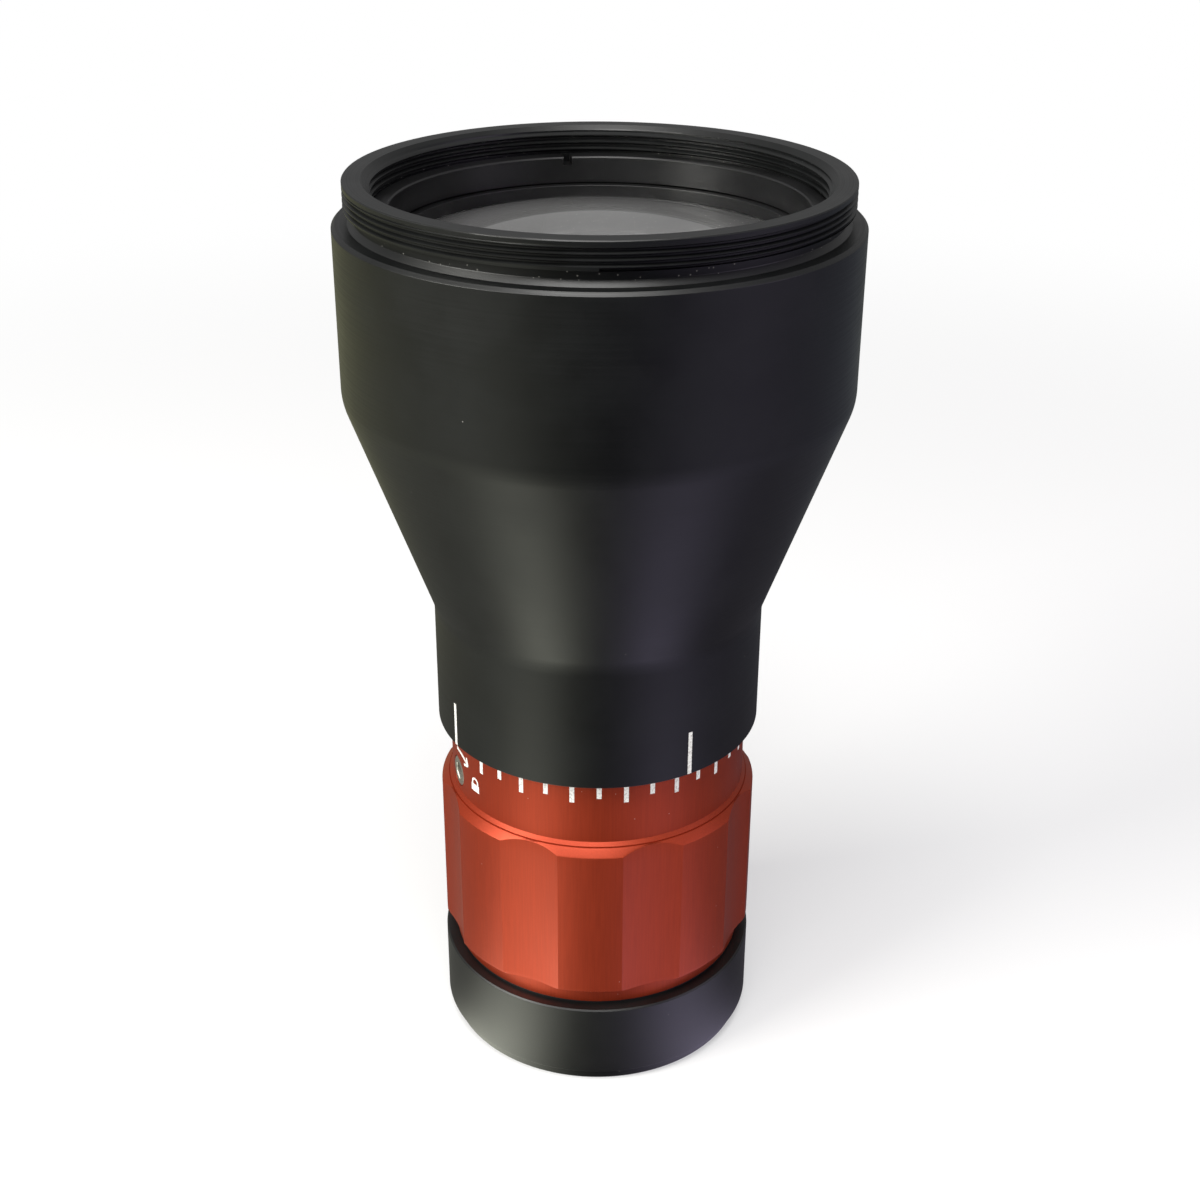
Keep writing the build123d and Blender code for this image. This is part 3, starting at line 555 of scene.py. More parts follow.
retainer_bore, retainer_radius, retainer_bottom, retainer_top = 17.75, 19.33, 79.55, 81.95
broken_edge, retainer_middle = 0.13, 18.6
wrench_slot_width, wrench_slot_floor, wrench_slot_azimuth = 0.8, 81.2, -170.2
ring_rows = outline(
    (retainer_middle, retainer_bottom),
    (retainer_radius, retainer_bottom, 0.05),
    (retainer_radius, retainer_top, 0.05),
    (retainer_bore + broken_edge, retainer_top, 0.04),
    (retainer_bore, retainer_top - broken_edge, 0.04),
    (retainer_bore, retainer_bottom, 0.05),
    (retainer_middle, retainer_bottom),
)
ring_points = slotted(
    ring_rows, 170, wrench_slot_width, wrench_slot_floor, wrench_slot_azimuth
)
retainer = smooth_piece("retaining_ring", ring_points, ring_black)
settle(retainer, "housing", "black_anodise", "objective_retaining_ring")


# Cemented doublet: a crown lens and a flint lens, polished and coated, with ground edges. The faces
# that are cemented together show no reflection of their own.
def coated_glass(name, ground_radius, clearness):
    """Polished coated glass, with a ground edge beyond a radius in mm and a thin haze where it isn't
    quite clear."""
    made, tree, shader = new_material(name)
    x, y, _ = axes_of(tree)
    ground = calc(tree, "GREATER_THAN", distance_from_axis(tree, x, y), ground_radius * mm)
    polished = ramp(tree, noise(tree, 140.0, 2.0), 0.4, 0.75, 0.012, 0.035)
    roughness = calc(tree, "MAXIMUM", polished, calc(tree, "MULTIPLY", ground, 0.6))
    fill(shader, Base_Color=white, Roughness=roughness, Transmission_Weight=clearness)
    fill(shader, Specular_IOR_Level=0.25, IOR=1.55)
    return made


cement, _, shader = new_material("lens_cement")
fill(shader, Alpha=0.0)
crown_glass = coated_glass("crown_glass", 19.0, 0.90)
flint_glass = coated_glass("flint_glass", 19.0, 1.0)
cement_apex, cement_curve, flint_curve, flint_back, lens_radius = 71.568, 48.0, 150.0, 68.548, 19.05
lens_bevel, cement_gap = 0.15, 0.02
face_rows, edge_rows = 34, 2


def lens_face(apex, curve, to_radius, outward):
    """Rows of a spherical face, from the pole outward or back to it. A hollow face bends upward."""
    radii = np.linspace(0, to_radius, face_rows)
    heights = apex - np.sign(curve) * sag(abs(curve), radii)
    rows = np.stack((radii, heights), -1)
    return rows if outward else rows[::-1]


def doublet_lens(name, lower, upper, glass, cemented):
    """A lens with two faces, each (apex, curve), and a bevelled edge. cemented is the rows of the
    face that lies on the other lens."""
    to_radius = lens_radius - lens_bevel
    below, above = lens_face(*lower, to_radius, True), lens_face(*upper, to_radius, False)
    bottom, top = below[-1, 1] + lens_bevel, above[0, 1] - lens_bevel
    rows = np.vstack((below, outline((lens_radius, bottom), (lens_radius, top)), above))
    return smooth_piece(name, turned(*carried(rows, around), around), glass, cement, cemented)


lower_face = range(face_rows - 1)
upper_face = range(face_rows + edge_rows, 2 * face_rows + edge_rows - 1)
crown_back = (cement_apex, -cement_curve)
flint_front = (cement_apex - cement_gap, -cement_curve)
crown = doublet_lens("crown_lens", crown_back, (crown_apex, crown_curve), crown_glass, lower_face)
flint = doublet_lens("flint_lens", (flint_back, -flint_curve), flint_front, flint_glass, upper_face)
settle(crown, "housing", "coated_glass", "objective_crown_lens")
settle(flint, "housing", "coated_glass", "objective_flint_lens")


# Adjuster ring: turned aluminium, dyed red, with eight concave flutes milled in the grip, a scale
# collar above it, and two helical cam grooves in the bore for the lens cell's rollers.
grip_bottom, grip_top, scale_bottom = 10.7, 25.95, 27.05
ring_bottom, ring_top = 8.9, 35.65
recess_radius, grip_radius, scale_radius, ring_bore = 14.2, 15.2, 14.1, 12.08
flute_count, flute_depth, flute_angle, land_azimuth = 8, 0.6, 22.2, -2.35
scribe_height, scribe_radius, scribe_size = 26.73, 14.42, 0.12
collar_middle, bore_bevel, flute_sharp = 13.0, 0.1, 12
lock_azimuth, lock_height, hole_radius, hole_countersink = -69.5, 28.85, 1.5, 0.1
cam_lead, cam_half_turn, cam_floor, cam_half_width, cam_middle = 12.0, 121.0, 13.18, 1.83, 18.0

half_flute = radians(flute_angle / 2)
flute_rise = grip_radius * cos(half_flute) - (grip_radius - flute_depth)
flute_half_chord = grip_radius * sin(half_flute)
flute_cutter = (flute_half_chord**2 + flute_rise**2) / (2 * flute_rise)
flute_middle = grip_radius - flute_depth + flute_cutter
flute_step = 2 * pi / flute_count
first_flute = radians(land_azimuth) + flute_step / 2


def flute_profile(theta):
    """Distance from the axis of the fluted grip: the land's radius, or within a flute the near side
    of the cutter's circle, d cos a - sqrt(c^2 - d^2 sin^2 a), a being the angle from its middle."""
    angle = (theta - first_flute + flute_step / 2) % flute_step - flute_step / 2
    reach = np.clip(flute_cutter**2 - (flute_middle * np.sin(angle)) ** 2, 0, None)
    flute = flute_middle * np.cos(angle) - np.sqrt(reach)
    return np.where(np.abs(angle) < half_flute, np.minimum(flute, grip_radius), grip_radius)


def red_anodise(name, base):
    """Dyed red oxide over etched aluminium: the metal shines through the dye, so highlights stay
    orange. Fine upright streaks and grain, and darker dye where it gathered."""
    made, tree, shader = new_material(name)
    skin = placed_group(tree, etched_skin, Grain=0.05)
    specks = placed_group(tree, dust_specks, Cell=1.6, Speck=0.05, Share=0.35)["Mask"]
    place = add(tree, "ShaderNodeTexCoord").outputs["Object"]
    upright = add(tree, "ShaderNodeMapping", {"Vector": place, "Scale": (1, 1, 0.03)}).outputs[0]
    streaks = noise(tree, 7500.0, 2.0, upright)
    deep = tuple(0.93 * v for v in base) + (1,)
    pale = tuple(1.05 * v for v in base) + (1,)
    colour = colour_mix(tree, ramp(tree, streaks, 0.3, 0.7), deep, pale)
    colour = colour_mix(tree, specks, colour, dust_on_red)
    satin = ramp(tree, streaks, 0.3, 0.7, 0.38, 0.41)
    normal = raised(tree, skin["Height"], skin_depth)
    fill(shader, Base_Color=colour, Roughness=satin, Normal=normal, Metallic=0.6)
    return made


ring_red = red_anodise("ring_red", (0.335, 0.035, 0.009))
flute_edges = first_flute + flute_step * np.arange(-1, flute_count + 1)
angles = np.concatenate((around, flute_edges - half_flute, flute_edges + half_flute))
spread = np.unique(np.round(angles[(angles >= 0) & (angles <= 2 * pi)], 7))
spread[-1] = 2 * pi
grip = flute_profile(spread)
foot_bevel, foot_width = 0.15, 0.25
grip_foot = np.minimum(grip, grip_radius - foot_bevel)


def row(radius, height):
    """One row of the grid at a radius and height, each a number or one value for each column."""
    return (radius + 0 * spread)[None], (height + 0 * spread)[None]


# The grip's rows lie hundredths of a millimetre apart where they round its foot and its chamfer.
land_top = grip_top + grip_radius - grip
bottom_middle = ring_bore + 0.82
recess = outline(
    (recess_radius - 0.5, ring_bottom),
    (recess_radius, ring_bottom, 0.05),
    (recess_radius, grip_bottom),
)
outer_rows = [
    row(bottom_middle, ring_bottom),
    carried(recess, spread),
    row(grip_foot - foot_width, grip_bottom),
    row(grip_foot - 0.03, grip_bottom),
    row(grip_foot, grip_bottom + 0.01),
    row(grip - 0.005, grip_bottom + 0.13),
    row(grip, grip_bottom + 0.17),
    row(grip, grip_bottom + 0.4),
    row(grip, grip_top - 1.0),
    row(grip, land_top - 0.05),
    row(grip - 0.006, land_top - 0.012),
    row(grip - 0.03, land_top + 0.02),
    row(grip - 0.08, land_top + 0.08),
]
collar = outline(
    (scribe_radius + 0.17, scribe_height - 0.17),
    (scribe_radius + 0.1, scribe_height - 0.1, 0.02),
    (scribe_radius, scribe_height - scribe_size),
    (scribe_radius, scribe_height, 0.02),
    (scale_radius, scale_bottom, 0.04),
    (scale_radius, ring_top, 0.1),
    (collar_middle, ring_top),
)
bore = outline(
    (ring_bore + bore_bevel, ring_top),
    (ring_bore, ring_top - bore_bevel),
    (ring_bore, ring_bottom + bore_bevel),
    (ring_bore + bore_bevel, ring_bottom),
)
r, z = stacked(*outer_rows, carried(collar, spread), carried(bore, spread))
adjuster = smooth_piece("adjuster", turned(r, z, spread), ring_red, sharp=flute_sharp)
settle(adjuster, "adjuster", "red_anodise", "adjuster_ring")


def radial(s, reach, phi, azimuth, height):
    """Points about an axis that leaves the optical axis at an azimuth and height: s from that axis,
    reach from the optical axis, and phi round it."""
    out = np.array((sin(radians(azimuth)), -cos(radians(azimuth)), 0))
    along = np.array((cos(radians(azimuth)), sin(radians(azimuth)), 0))
    s, reach = s + 0 * phi, reach + 0 * phi
    sideways, upward = s * np.cos(phi), s * np.sin(phi)
    up = np.array((0, 0, 1))
    aside = sideways[..., None] * along + (upward + height)[..., None] * up
    return reach[..., None] * out + aside


def cut(piece, points, name, sharp=30):
    """Cuts a closed shape out of a piece and bakes the cut into the piece's mesh."""
    cutter = smooth_piece(name, points, piece.data.materials[0])
    modifier = piece.modifiers.new("cut", "BOOLEAN")
    modifier.operation, modifier.solver, modifier.object = "DIFFERENCE", "EXACT", cutter
    bpy.context.view_layer.update()
    shape = piece.evaluated_get(bpy.context.evaluated_depsgraph_get())
    mesh = bpy.data.meshes.new_from_object(shape)
    piece.modifiers.clear()
    piece.data = mesh
    bpy.data.objects.remove(cutter)
    mesh.shade_smooth()
    mesh.set_sharp_from_angle(angle=radians(sharp))


phi = np.linspace(0, 2 * pi, 97)
hole_start, hole_end, countersink_start = ring_bore - 0.58, scale_radius + 0.2, scale_radius - 0.07
hole_rows = outline(
    (0, hole_start),
    (hole_radius, hole_start),
    (hole_radius, countersink_start),
    (hole_radius + hole_countersink, hole_end),
    (0, hole_end),
)
s, reach = carried(np.vstack((hole_rows, hole_rows[:1])), phi)
hole = radial(s, reach, phi, lock_azimuth, lock_height)
cut(adjuster, hole, "screw_hole", sharp=flute_sharp)

# The cutter of a cam groove follows the helix, z = middle + lead * angle / 360. Its half height
# falls along a circle past both ends. The cutter of a keyway closes to a point at both sides.
cam_rounding = cam_half_width / (ring_bore + 0.5)
cam_end = radians(cam_half_turn)
cam_turn = np.linspace(-cam_end - cam_rounding, cam_end + cam_rounding, 161)
past_end = np.clip(np.abs(cam_turn) - cam_end, 0, cam_rounding) / cam_rounding
cam_half = cam_half_width * np.sqrt(1 - past_end**2)
cam_height = cam_middle + cam_lead * np.clip(cam_turn, -cam_end, cam_end) / (2 * pi)
cutter_inner = ring_bore - 0.5
groove_radii = np.array([cutter_inner, cam_floor, cam_floor, cutter_inner, cutter_inner])[:, None]
groove_sides = np.array([-1, -1, 1, 1, -1])[:, None]
key_inner, key_bottom, key_top = cam_floor - 0.5, ring_bottom - 0.5, cam_height[0]
key_turn = cam_rounding * np.array([-1, -1, -0.5, 0, 0.5, 1, 1])
key_open = np.array([0, 1, 1, 1, 1, 1, 0])
for side, azimuth in (("a", 90), ("b", 270)):
    place = radians(azimuth)
    groove_heights = cam_height + groove_sides * cam_half
    groove = turned(groove_radii + 0 * cam_turn, groove_heights, place + cam_turn)
    cut(adjuster, groove, "cam_groove_" + side, sharp=flute_sharp)
    key_radii = key_inner + (groove_radii - key_inner) * key_open
    key_heights = (key_bottom + key_top) / 2 + groove_sides * (key_top - key_bottom) / 2 * key_open
    keyway = turned(key_radii, key_heights, place - cam_end + key_turn)
    cut(adjuster, keyway, "keyway_" + side, sharp=flute_sharp)


# Lock screw: a bright steel set screw with a hexagon socket and a fine thread, screwed into the hole
# in the scale collar.
screw_radius, screw_pitch, screw_thread_depth = 1.45, 0.5, 0.28
screw_inner, screw_outer, hex_half, hex_depth, hex_lead_in = 12.53, 14.03, 0.75, 0.9, 0.06
steel, tree, shader = new_material("screw_steel")
scratches = noise(tree, 2600.0, 4.0)
bright, dull = (0.62, 0.61, 0.56, 1), (0.40, 0.39, 0.35, 1)
fill(
    shader,
    Base_Color=colour_mix(tree, ramp(tree, scratches, 0.35, 0.7), bright, dull),
    Roughness=ramp(tree, scratches, 0.3, 0.7, 0.36, 0.52),
    Normal=raised(tree, scratches, 0.01, 0.8),
    Metallic=1.0,
)

hexagon = hex_half / np.cos((phi + pi / 6) % (pi / 3) - pi / 6)
s_thread, a_thread = thread_rows(
    screw_inner + 0.15,
    screw_outer - 0.2,
    screw_pitch,
    screw_radius,
    screw_radius - screw_thread_depth,
    phi,
)
screw_end = outline(
    (screw_radius, screw_outer - 0.19),
    (screw_radius - 0.03, screw_outer, 0.08),
    (1.0, screw_outer),
)
screw_blocks = [
    carried([(0, screw_inner), (screw_radius - 0.3, screw_inner)], phi),
    (s_thread, a_thread),
    carried(screw_end, phi),
    ((hexagon + hex_lead_in)[None], (screw_outer + 0 * phi)[None]),
    (hexagon[None], (screw_outer - 0.08 + 0 * phi)[None]),
    (hexagon[None], (screw_outer - hex_depth + 0 * phi)[None]),
    carried([(0, screw_outer - hex_depth - 0.2)], phi),
]
s = np.vstack([block[0] for block in screw_blocks])
reach = np.vstack([block[1] for block in screw_blocks])
screw = smooth_piece("set_screw", radial(s, reach, phi, lock_azimuth, lock_height), steel)
settle(screw, "lock", "bright_steel", "lock_screw")


# Scale, index line, lock line, arrow and padlock: engraved and filled with off-white paint. They are
# thin closed strips that stand a hundredth of a millimetre proud of the metal.
fill_paint, tree, shader = new_material("engraving_paint")
blotches = noise(tree, 5200.0, 3.0)
fresh, worn = (0.80, 0.80, 0.76, 1), (0.50, 0.47, 0.44, 1)
fill(
    shader,
    Base_Color=colour_mix(tree, ramp(tree, blotches, 0.45, 0.72), fresh, worn),
    Roughness=ramp(tree, blotches, 0.3, 0.7, 0.5, 0.75),
    Normal=raised(tree, blotches, 0.01, 0.6),
)
paint_height = 0.012


def strips(name, radius, middle, half_width):
    """Closed strips on a cylinder. middle holds each strip's line as (distance round, height) in mm,
    shape (strips, points, 2). The section is a loop from side to side outside and back inside, and
    both ends of a strip close to the middle of its section."""
    middle = np.asarray(middle, float)
    heading = np.gradient(middle, axis=1)
    heading /= np.linalg.norm(heading, axis=-1, keepdims=True)
    aside = np.stack((heading[..., 1], -heading[..., 0]), -1) * half_width
    across = np.array([-1, -0.5, 0, 0.5, 1, 1, 0.5, 0, -0.5, -1, -1])
    lift = np.array([1, 1, 1, 1, 1, -1, -1, -1, -1, -1, 1]) * paint_height
    ends = np.ones(middle.shape[1] + 2)
    ends[[0, -1]] = 0
    line = np.concatenate((middle[:, :1], middle, middle[:, -1:]), axis=1)
    aside = np.concatenate((aside[:, :1], aside, aside[:, -1:]), axis=1)
    spot = line[:, None] + across[None, :, None, None] * (aside * ends[:, None])[:, None]
    r = radius + lift[None, :, None] * ends
    angle = spot[..., 0] / radius
    points = np.stack((r * np.sin(angle), -r * np.cos(angle), spot[..., 1]), -1)
    made = [smooth_piece(name, grid, fill_paint) for grid in points]
    with bpy.context.temp_override(active_object=made[0], selected_editable_objects=made):
        bpy.ops.object.join()
    return made[0]


def upright_lines(radius, azimuths, bottoms, top):
    """Lines (distance round, height) of upright marks, one for each azimuth."""
    around_mark = np.radians(azimuths) * radius
    bottom = np.broadcast_to(bottoms, around_mark.shape)
    low = np.stack((around_mark, bottom), -1)
    high = np.stack((around_mark, np.full_like(around_mark, top)), -1)
    return np.stack((low, high), 1)


tick_count, first_tick, ticks_left_out = 36, 0.7, (28, 29, 30)
tick_top, long_tick_bottom, short_tick_bottom, tick_half_width = 34.6, 31.18, 31.68, 0.22
tick_numbers = np.array([n for n in range(tick_count) if n not in ticks_left_out])
tick_azimuths = first_tick + 360 / tick_count * tick_numbers
tick_bottoms = np.where(tick_numbers % 2, long_tick_bottom, short_tick_bottom)
tick_lines = upright_lines(scale_radius, tick_azimuths, tick_bottoms, tick_top)
ticks = strips("scale_ticks", scale_radius, tick_lines, tick_half_width)
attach(ticks, "adjuster")
line_bottom, line_top, line_half_width = neck_bottom + 0.14, 37.9, 0.2
for name, azimuth in (("index_line", 32.8), ("lock_line", -58.5)):
    mark = upright_lines(neck_radius, [azimuth], line_bottom, line_top)
    line = strips(name, neck_radius, mark, line_half_width)
    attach(line, "housing")


def on_collar(azimuth, height):
    """The place (distance round, height) of a point on the scale collar."""
    return np.array((radians(azimuth) * scale_radius, height))


arrow_turn = np.radians(np.linspace(99, 58, 15))
arrow_curve, shaft_half_width, wing_half_width = 3.95, 0.15, 0.13
arrow_centre = on_collar(-67.5, 27.45)
shaft = arrow_centre + arrow_curve * np.stack((np.cos(arrow_turn), np.sin(arrow_turn)), -1)
tip = on_collar(-59.1, 30.76)
wing_low = on_collar(-62.5, 30.51)
wing_high = on_collar(-60.1, 31.54)


def joined(name, *pieces):
    """One piece of several meshes."""
    with bpy.context.temp_override(active_object=pieces[0], selected_editable_objects=list(pieces)):
        bpy.ops.object.join()
    pieces[0].name = name
    return pieces[0]


arrow = joined(
    "lock_arrow",
    strips("arrow_shaft", scale_radius, [shaft], shaft_half_width),
    strips("arrow_wings", scale_radius, [[tip, wing_low], [tip, wing_high]], wing_half_width),
)
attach(arrow, "adjuster")
padlock_middle = radians(-53.8) * scale_radius
bow_turn = np.radians(np.linspace(180, 0, 13))
bow_radius, bow_rise, bow_middle, bow_foot, bow_half_width = 0.42, 0.36, 29.70, 29.4, 0.1
body_bottom, body_top, body_half_width = 28.7, 29.45, 0.62
bow_across = padlock_middle + bow_radius * np.cos(bow_turn)
bow = np.stack((bow_across, bow_middle + bow_rise * np.sin(bow_turn)), -1)
left_foot = [[padlock_middle - bow_radius, bow_foot]]
right_foot = [[padlock_middle + bow_radius, bow_foot]]
bow = np.vstack((left_foot, bow, right_foot))
lock_body = [[padlock_middle, body_bottom], [padlock_middle, body_top]]
padlock = joined(
    "padlock_mark",
    strips("lock_body", scale_radius, [lock_body], body_half_width),
    strips("lock_bow", scale_radius, [bow], bow_half_width),
)
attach(padlock, "adjuster")


# Base ring: turned, black anodised, screwed on the guide tube below the adjuster. Its bore has the
# input thread.
base_black = black_anodise("base_black", (0.0045, 0.0047, 0.0046), 0.40)
foot_radius, base_radius, foot_height, base_top = 14.75, 15.3, 1.15, 8.65
input_crest, input_root, input_pitch, input_depth, input_chamfer = 12.8, 13.14, 0.635, 4.9, 0.4
fine = np.linspace(0, 2 * pi, 301)
r_in, z_in = thread_rows(0, input_depth, input_pitch, input_crest, input_root, fine)
r_in = np.maximum(r_in, input_crest + input_chamfer - z_in)
foot_middle, foot_chamfer, base_chamfer, tube_seat = 14.0, 0.12, 0.14, 12.05
base_rows = outline(
    (foot_middle, 0),
    (foot_radius - foot_chamfer, 0, 0.04),
    (foot_radius, foot_chamfer, 0.04),
    (foot_radius, foot_height, 0.05),
    (base_radius - foot_chamfer, foot_height, 0.04),
    (base_radius, foot_height + foot_chamfer, 0.04),
    (base_radius, base_top - base_chamfer, 0.05),
    (base_radius - base_chamfer, base_top, 0.05),
    (tube_seat + 0.1, base_top, 0.05),
    (tube_seat, base_top - 0.1, 0.05),
    (tube_seat, input_depth),
)
r, z = stacked(carried(base_rows, fine), (r_in[::-1], z_in[::-1]))
base = smooth_piece("base", turned(r, z, fine), base_black)
settle(base, "housing", "black_anodise", "base_ring")


# Guide tube: turned, screwed up into the neck. The adjuster turns on it and the lens cell slides in
# it. Two straight slots let the rollers through, and two grooves hold the rubber drag rings.
tube_radius, tube_bore, tube_bottom, tube_top, tube_shoulder = 12.0, 10.5, 4.95, 43.95, 37.45
tube_crest, drag_floor, tube_bevel, tube_middle = 12.9, 11.1, 0.1, 11.2
lower_drag_bottom, upper_drag_bottom, drag_width = 25.28, 33.05, 1.2
tube_rows = outline(
    (tube_middle, tube_bottom),
    (tube_radius - tube_bevel, tube_bottom, 0.03),
    (tube_radius, tube_bottom + tube_bevel, 0.03),
    (tube_radius, lower_drag_bottom, 0.03),
    (drag_floor, lower_drag_bottom),
    (drag_floor, lower_drag_bottom + drag_width),
    (tube_radius, lower_drag_bottom + drag_width, 0.03),
    (tube_radius, upper_drag_bottom, 0.03),
    (drag_floor, upper_drag_bottom),
    (drag_floor, upper_drag_bottom + drag_width),
    (tube_radius, upper_drag_bottom + drag_width, 0.03),
    (tube_radius, tube_shoulder),
    (tube_crest, tube_shoulder, 0.03),
    (tube_crest, tube_top - 0.15, 0.03),
    (tube_crest - 0.15, tube_top, 0.03),
    (tube_bore, tube_top, 0.05),
    (tube_bore, tube_bottom + 0.15, 0.03),
    (tube_bore + 0.15, tube_bottom, 0.03),
    (tube_middle, tube_bottom),
)
tube_black = black_anodise("tube_black", (0.0060, 0.0060, 0.0062), 0.34)
tube = smooth_piece("slotted_tube", turned(*carried(tube_rows, fine), fine), tube_black)
slot_half_width, slot_half_length = cam_half_width, 5.88
slot_inside, slot_outside = 9.0, 14.0
slot_end = slot_half_length - slot_half_width
straight = slot_half_width / np.maximum(np.abs(np.cos(phi)), 1e-6)
rounded = slot_end * np.abs(np.sin(phi)) + np.sqrt(
    np.clip(slot_half_width**2 - (slot_end * np.cos(phi)) ** 2, 0, None)
)
obround = np.where(straight * np.abs(np.sin(phi)) <= slot_end, straight, rounded)
for name, azimuth in (("slot_a", 90), ("slot_b", 270)):
    s = np.stack((0 * phi, obround, obround, 0 * phi, 0 * phi))
    reach = np.array([slot_inside, slot_inside, slot_outside, slot_outside, slot_inside])
    reach = reach[:, None] + 0 * phi
    cut(tube, radial(s, reach, phi, azimuth, cam_middle), name)
settle(tube, "housing", "black_anodise", "guide_tube")


# Lens cell and its threaded ring: turned and black anodised. The cell slides on two lands and flares
# open above the lens so that it doesn't clip the beam.
cell_bottom, cell_top, cell_land, cell_waist = 11.5, 24.5, 10.42, 10.17
lower_land_top, upper_land_bottom, cell_middle = 14.1, 21.9, 8.0
lens_pocket, pocket_top, beam_bore, beam_mouth = 6.4, 17.0, 5.6, 8.6
cell_rows = outline(
    (cell_middle, cell_bottom),
    (cell_land, cell_bottom, 0.1),
    (cell_land, lower_land_top, 0.05),
    (cell_waist, lower_land_top),
    (cell_waist, upper_land_bottom),
    (cell_land, upper_land_bottom, 0.05),
    (cell_land, cell_top, 0.1),
    (beam_mouth, cell_top, 0.05),
    (beam_bore, pocket_top, 0.03),
    (lens_pocket, pocket_top),
    (lens_pocket, cell_bottom, 0.05),
    (cell_middle, cell_bottom),
)
cell = smooth_piece("sliding_cell", turned(*carried(cell_rows, fine), fine), tube_black)
settle(cell, "lens_carriage", "black_anodise", "lens_cell")
input_ring_bottom, input_ring_top, input_ring_bore, input_ring_radius = 12.15, 13.6, 5.2, 6.35
input_ring_middle, input_slot_width, input_slot_roof = 5.8, 1.0, 12.85
input_ring_rows = outline(
    (input_ring_middle, input_ring_bottom),
    (input_ring_radius, input_ring_bottom, 0.05),
    (input_ring_radius, input_ring_top, 0.05),
    (input_ring_bore, input_ring_top, 0.05),
    (input_ring_bore, input_ring_bottom, 0.08),
    (input_ring_middle, input_ring_bottom),
)
input_ring_points = slotted(
    input_ring_rows, 90, input_slot_width, input_slot_roof, 0, upward=False
)
input_retainer = smooth_piece("input_ring", input_ring_points, ring_black)
settle(input_retainer, "lens_carriage", "black_anodise", "input_lens_retaining_ring")


# Input lens: a small polished glass lens, flat above and hollow below, with a ground edge. The
# threaded ring below holds it in the lens cell.
input_glass = coated_glass("input_glass", 6.3, 1.0)
input_radius, input_flat, input_rim, input_curve = 6.35, 16.95, 13.65, 15.5
hollow_apex = input_rim + float(sag(input_curve, input_radius))
input_bevel = 0.1
hollow = lens_face(hollow_apex, input_curve, input_radius - input_bevel, True)
input_edge = outline(
    (input_radius, input_rim + 0.05),
    (input_radius, input_flat - input_bevel),
    (input_radius - input_bevel, input_flat),
    (0, input_flat),
)
input_rows = np.vstack((hollow, input_edge))
input_piece = smooth_piece("hollow_lens", turned(*carried(input_rows, fine), fine), input_glass)
settle(input_piece, "lens_carriage", "coated_glass", "input_lens")


# Thrust washers of nylon, rubber drag rings and the spring washer, which take up the adjuster's
# play. Only the rim of the lower washer shows, as a hairline under the red ring. It is coloured
# near black as painted shade for the gap there.
def clouded(name, grain, first, second, smoothest, roughest, metallic=0.0):
    """A plain material: two like colours in clouds, with a fine grain in the roughness."""
    made, tree, shader = new_material(name)
    skin = placed_group(tree, etched_skin, Grain=grain)
    colour = colour_mix(tree, skin["Cloud"], first + (1,), second + (1,))
    roughness = ramp(tree, skin["Height"], 0.3, 0.7, smoothest, roughest)
    fill(shader, Base_Color=colour, Roughness=roughness, Metallic=metallic)
    return made


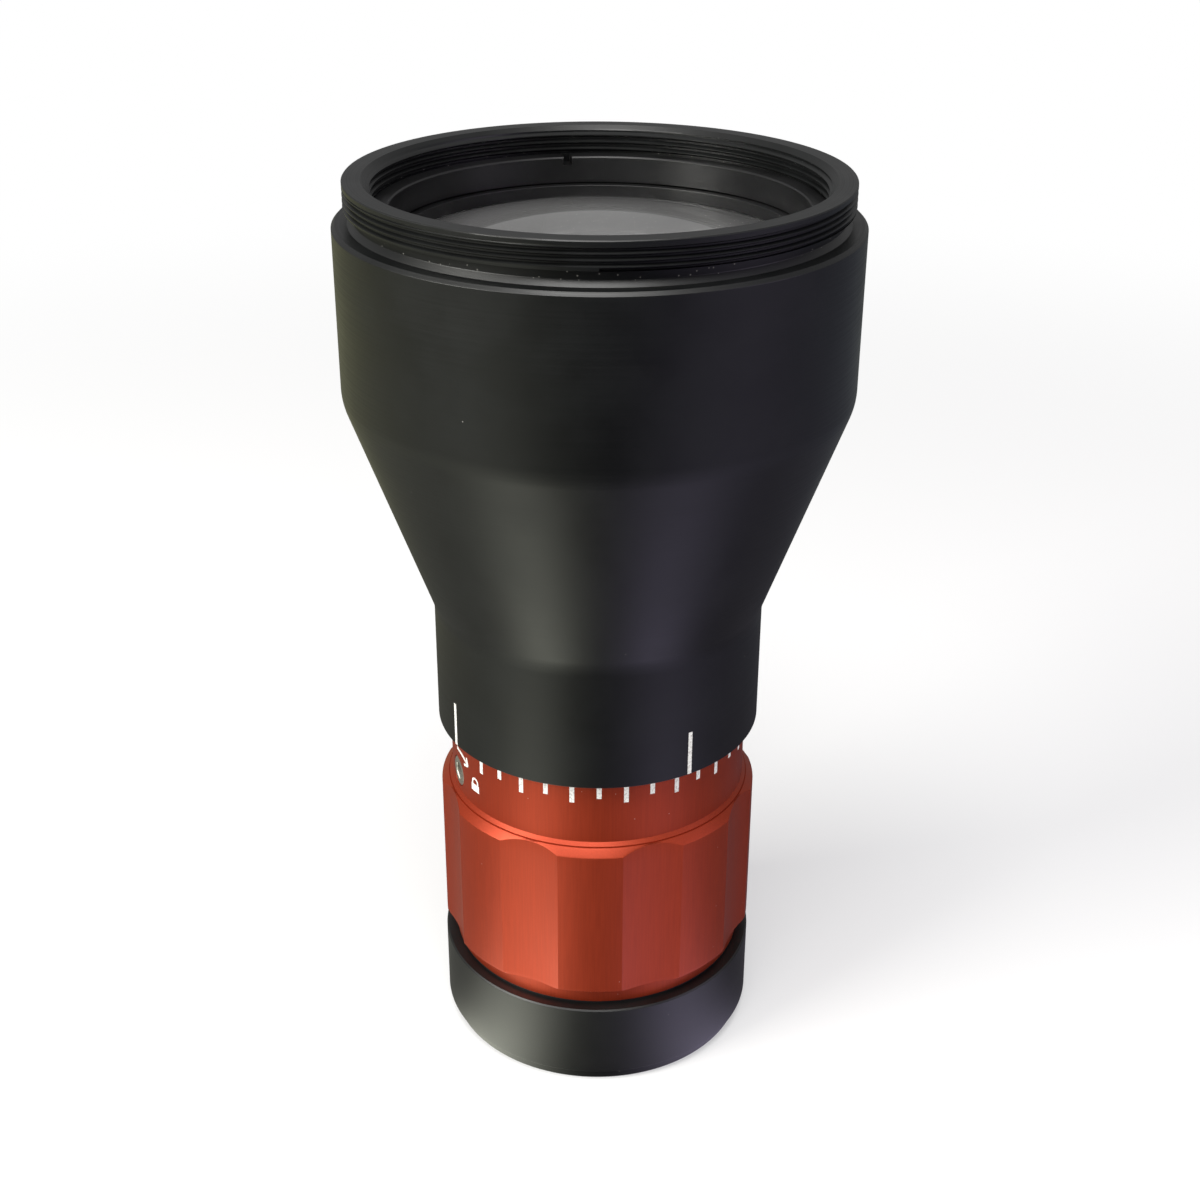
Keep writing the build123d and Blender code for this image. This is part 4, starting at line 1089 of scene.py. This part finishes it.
nylon = clouded("washer_nylon", 0.12, (0.52, 0.50, 0.44), (0.60, 0.58, 0.52), 0.40, 0.55)
# Painted shade: the lower washer is near black so that the gap under the red ring reads dark.
washer_painted_shade = clouded("washer_painted_shade", 0.12, (0.006, 0.006, 0.006), (0.012, 0.011, 0.011), 0.45, 0.60)
rubber = clouded("drag_rubber", 0.08, (0.010, 0.010, 0.010), (0.022, 0.021, 0.020), 0.6, 0.8)
washer_bore, lower_washer_radius, upper_washer_radius = ring_bore, 14.12, 13.78
lower_washer_height, upper_washer_bottom, upper_washer_height = 0.2, 35.70, 0.5
drag_bore, drag_radius, drag_height, drag_lift = 11.125, 12.025, 1.0, 0.1
lower_washer = (washer_bore, lower_washer_radius, base_top, lower_washer_height)
upper_washer = (washer_bore, upper_washer_radius, upper_washer_bottom, upper_washer_height)
lower_drag = (drag_bore, drag_radius, lower_drag_bottom + drag_lift, drag_height)
upper_drag = (drag_bore, drag_radius, upper_drag_bottom + drag_lift, drag_height)
for name, node, sizes, material, slot in (
    ("lower_washer", "lower_thrust_washer", lower_washer, washer_painted_shade, "nylon"),
    ("upper_washer", "upper_thrust_washer", upper_washer, nylon, "nylon"),
    ("lower_rubber", "lower_drag_ring", lower_drag, rubber, "rubber_seal"),
    ("upper_rubber", "upper_drag_ring", upper_drag, rubber, "rubber_seal"),
):
    inner, outer, bottom, height = sizes
    middle = (inner + outer) / 2
    corner = height / 8
    ring_section = outline(
        (middle, bottom),
        (outer, bottom, corner),
        (outer, bottom + height, corner),
        (inner, bottom + height, corner),
        (inner, bottom, corner),
        (middle, bottom),
    )
    washer = smooth_piece(name, turned(*carried(ring_section, fine), fine), material)
    settle(washer, "housing", slot, node)

spring_inner, spring_outer, spring_bottom = washer_bore, upper_washer_radius, 36.25
spring_rise, spring_thickness = 0.45, 0.2
spring_curve = (spring_outer**2 + spring_rise**2) / (2 * spring_rise)
section_radii = [spring_inner, spring_outer, spring_outer, spring_inner, spring_inner]
section = np.stack((section_radii, [0, 0, 1, 1, 0]), -1)
r, upper = carried(section, fine)
z = spring_bottom + spring_rise - sag(spring_curve, r * np.sin(fine)) + upper * spring_thickness
spring = smooth_piece("wave_washer", turned(r, z, fine), steel)
settle(spring, "housing", "bright_steel", "spring_washer")


# Cam followers and the lock pad: small turned pieces inside the ring, a bronze roller on a steel
# shoulder screw at each side of the cell, and a nylon disc under the lock screw.
bronze = clouded("roller_bronze", 0.06, (0.42, 0.24, 0.10), (0.55, 0.33, 0.15), 0.25, 0.40, 1.0)
for node, material in (
    ("follower_roller_a", bronze),
    ("follower_roller_b", bronze),
    ("follower_screw_a", steel),
    ("follower_screw_b", steel),
    ("lock_pad", nylon),
):
    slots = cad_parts[node].material_slots
    for slot in slots:
        slot.material = material
    if not slots:
        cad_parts[node].data.materials.append(material)
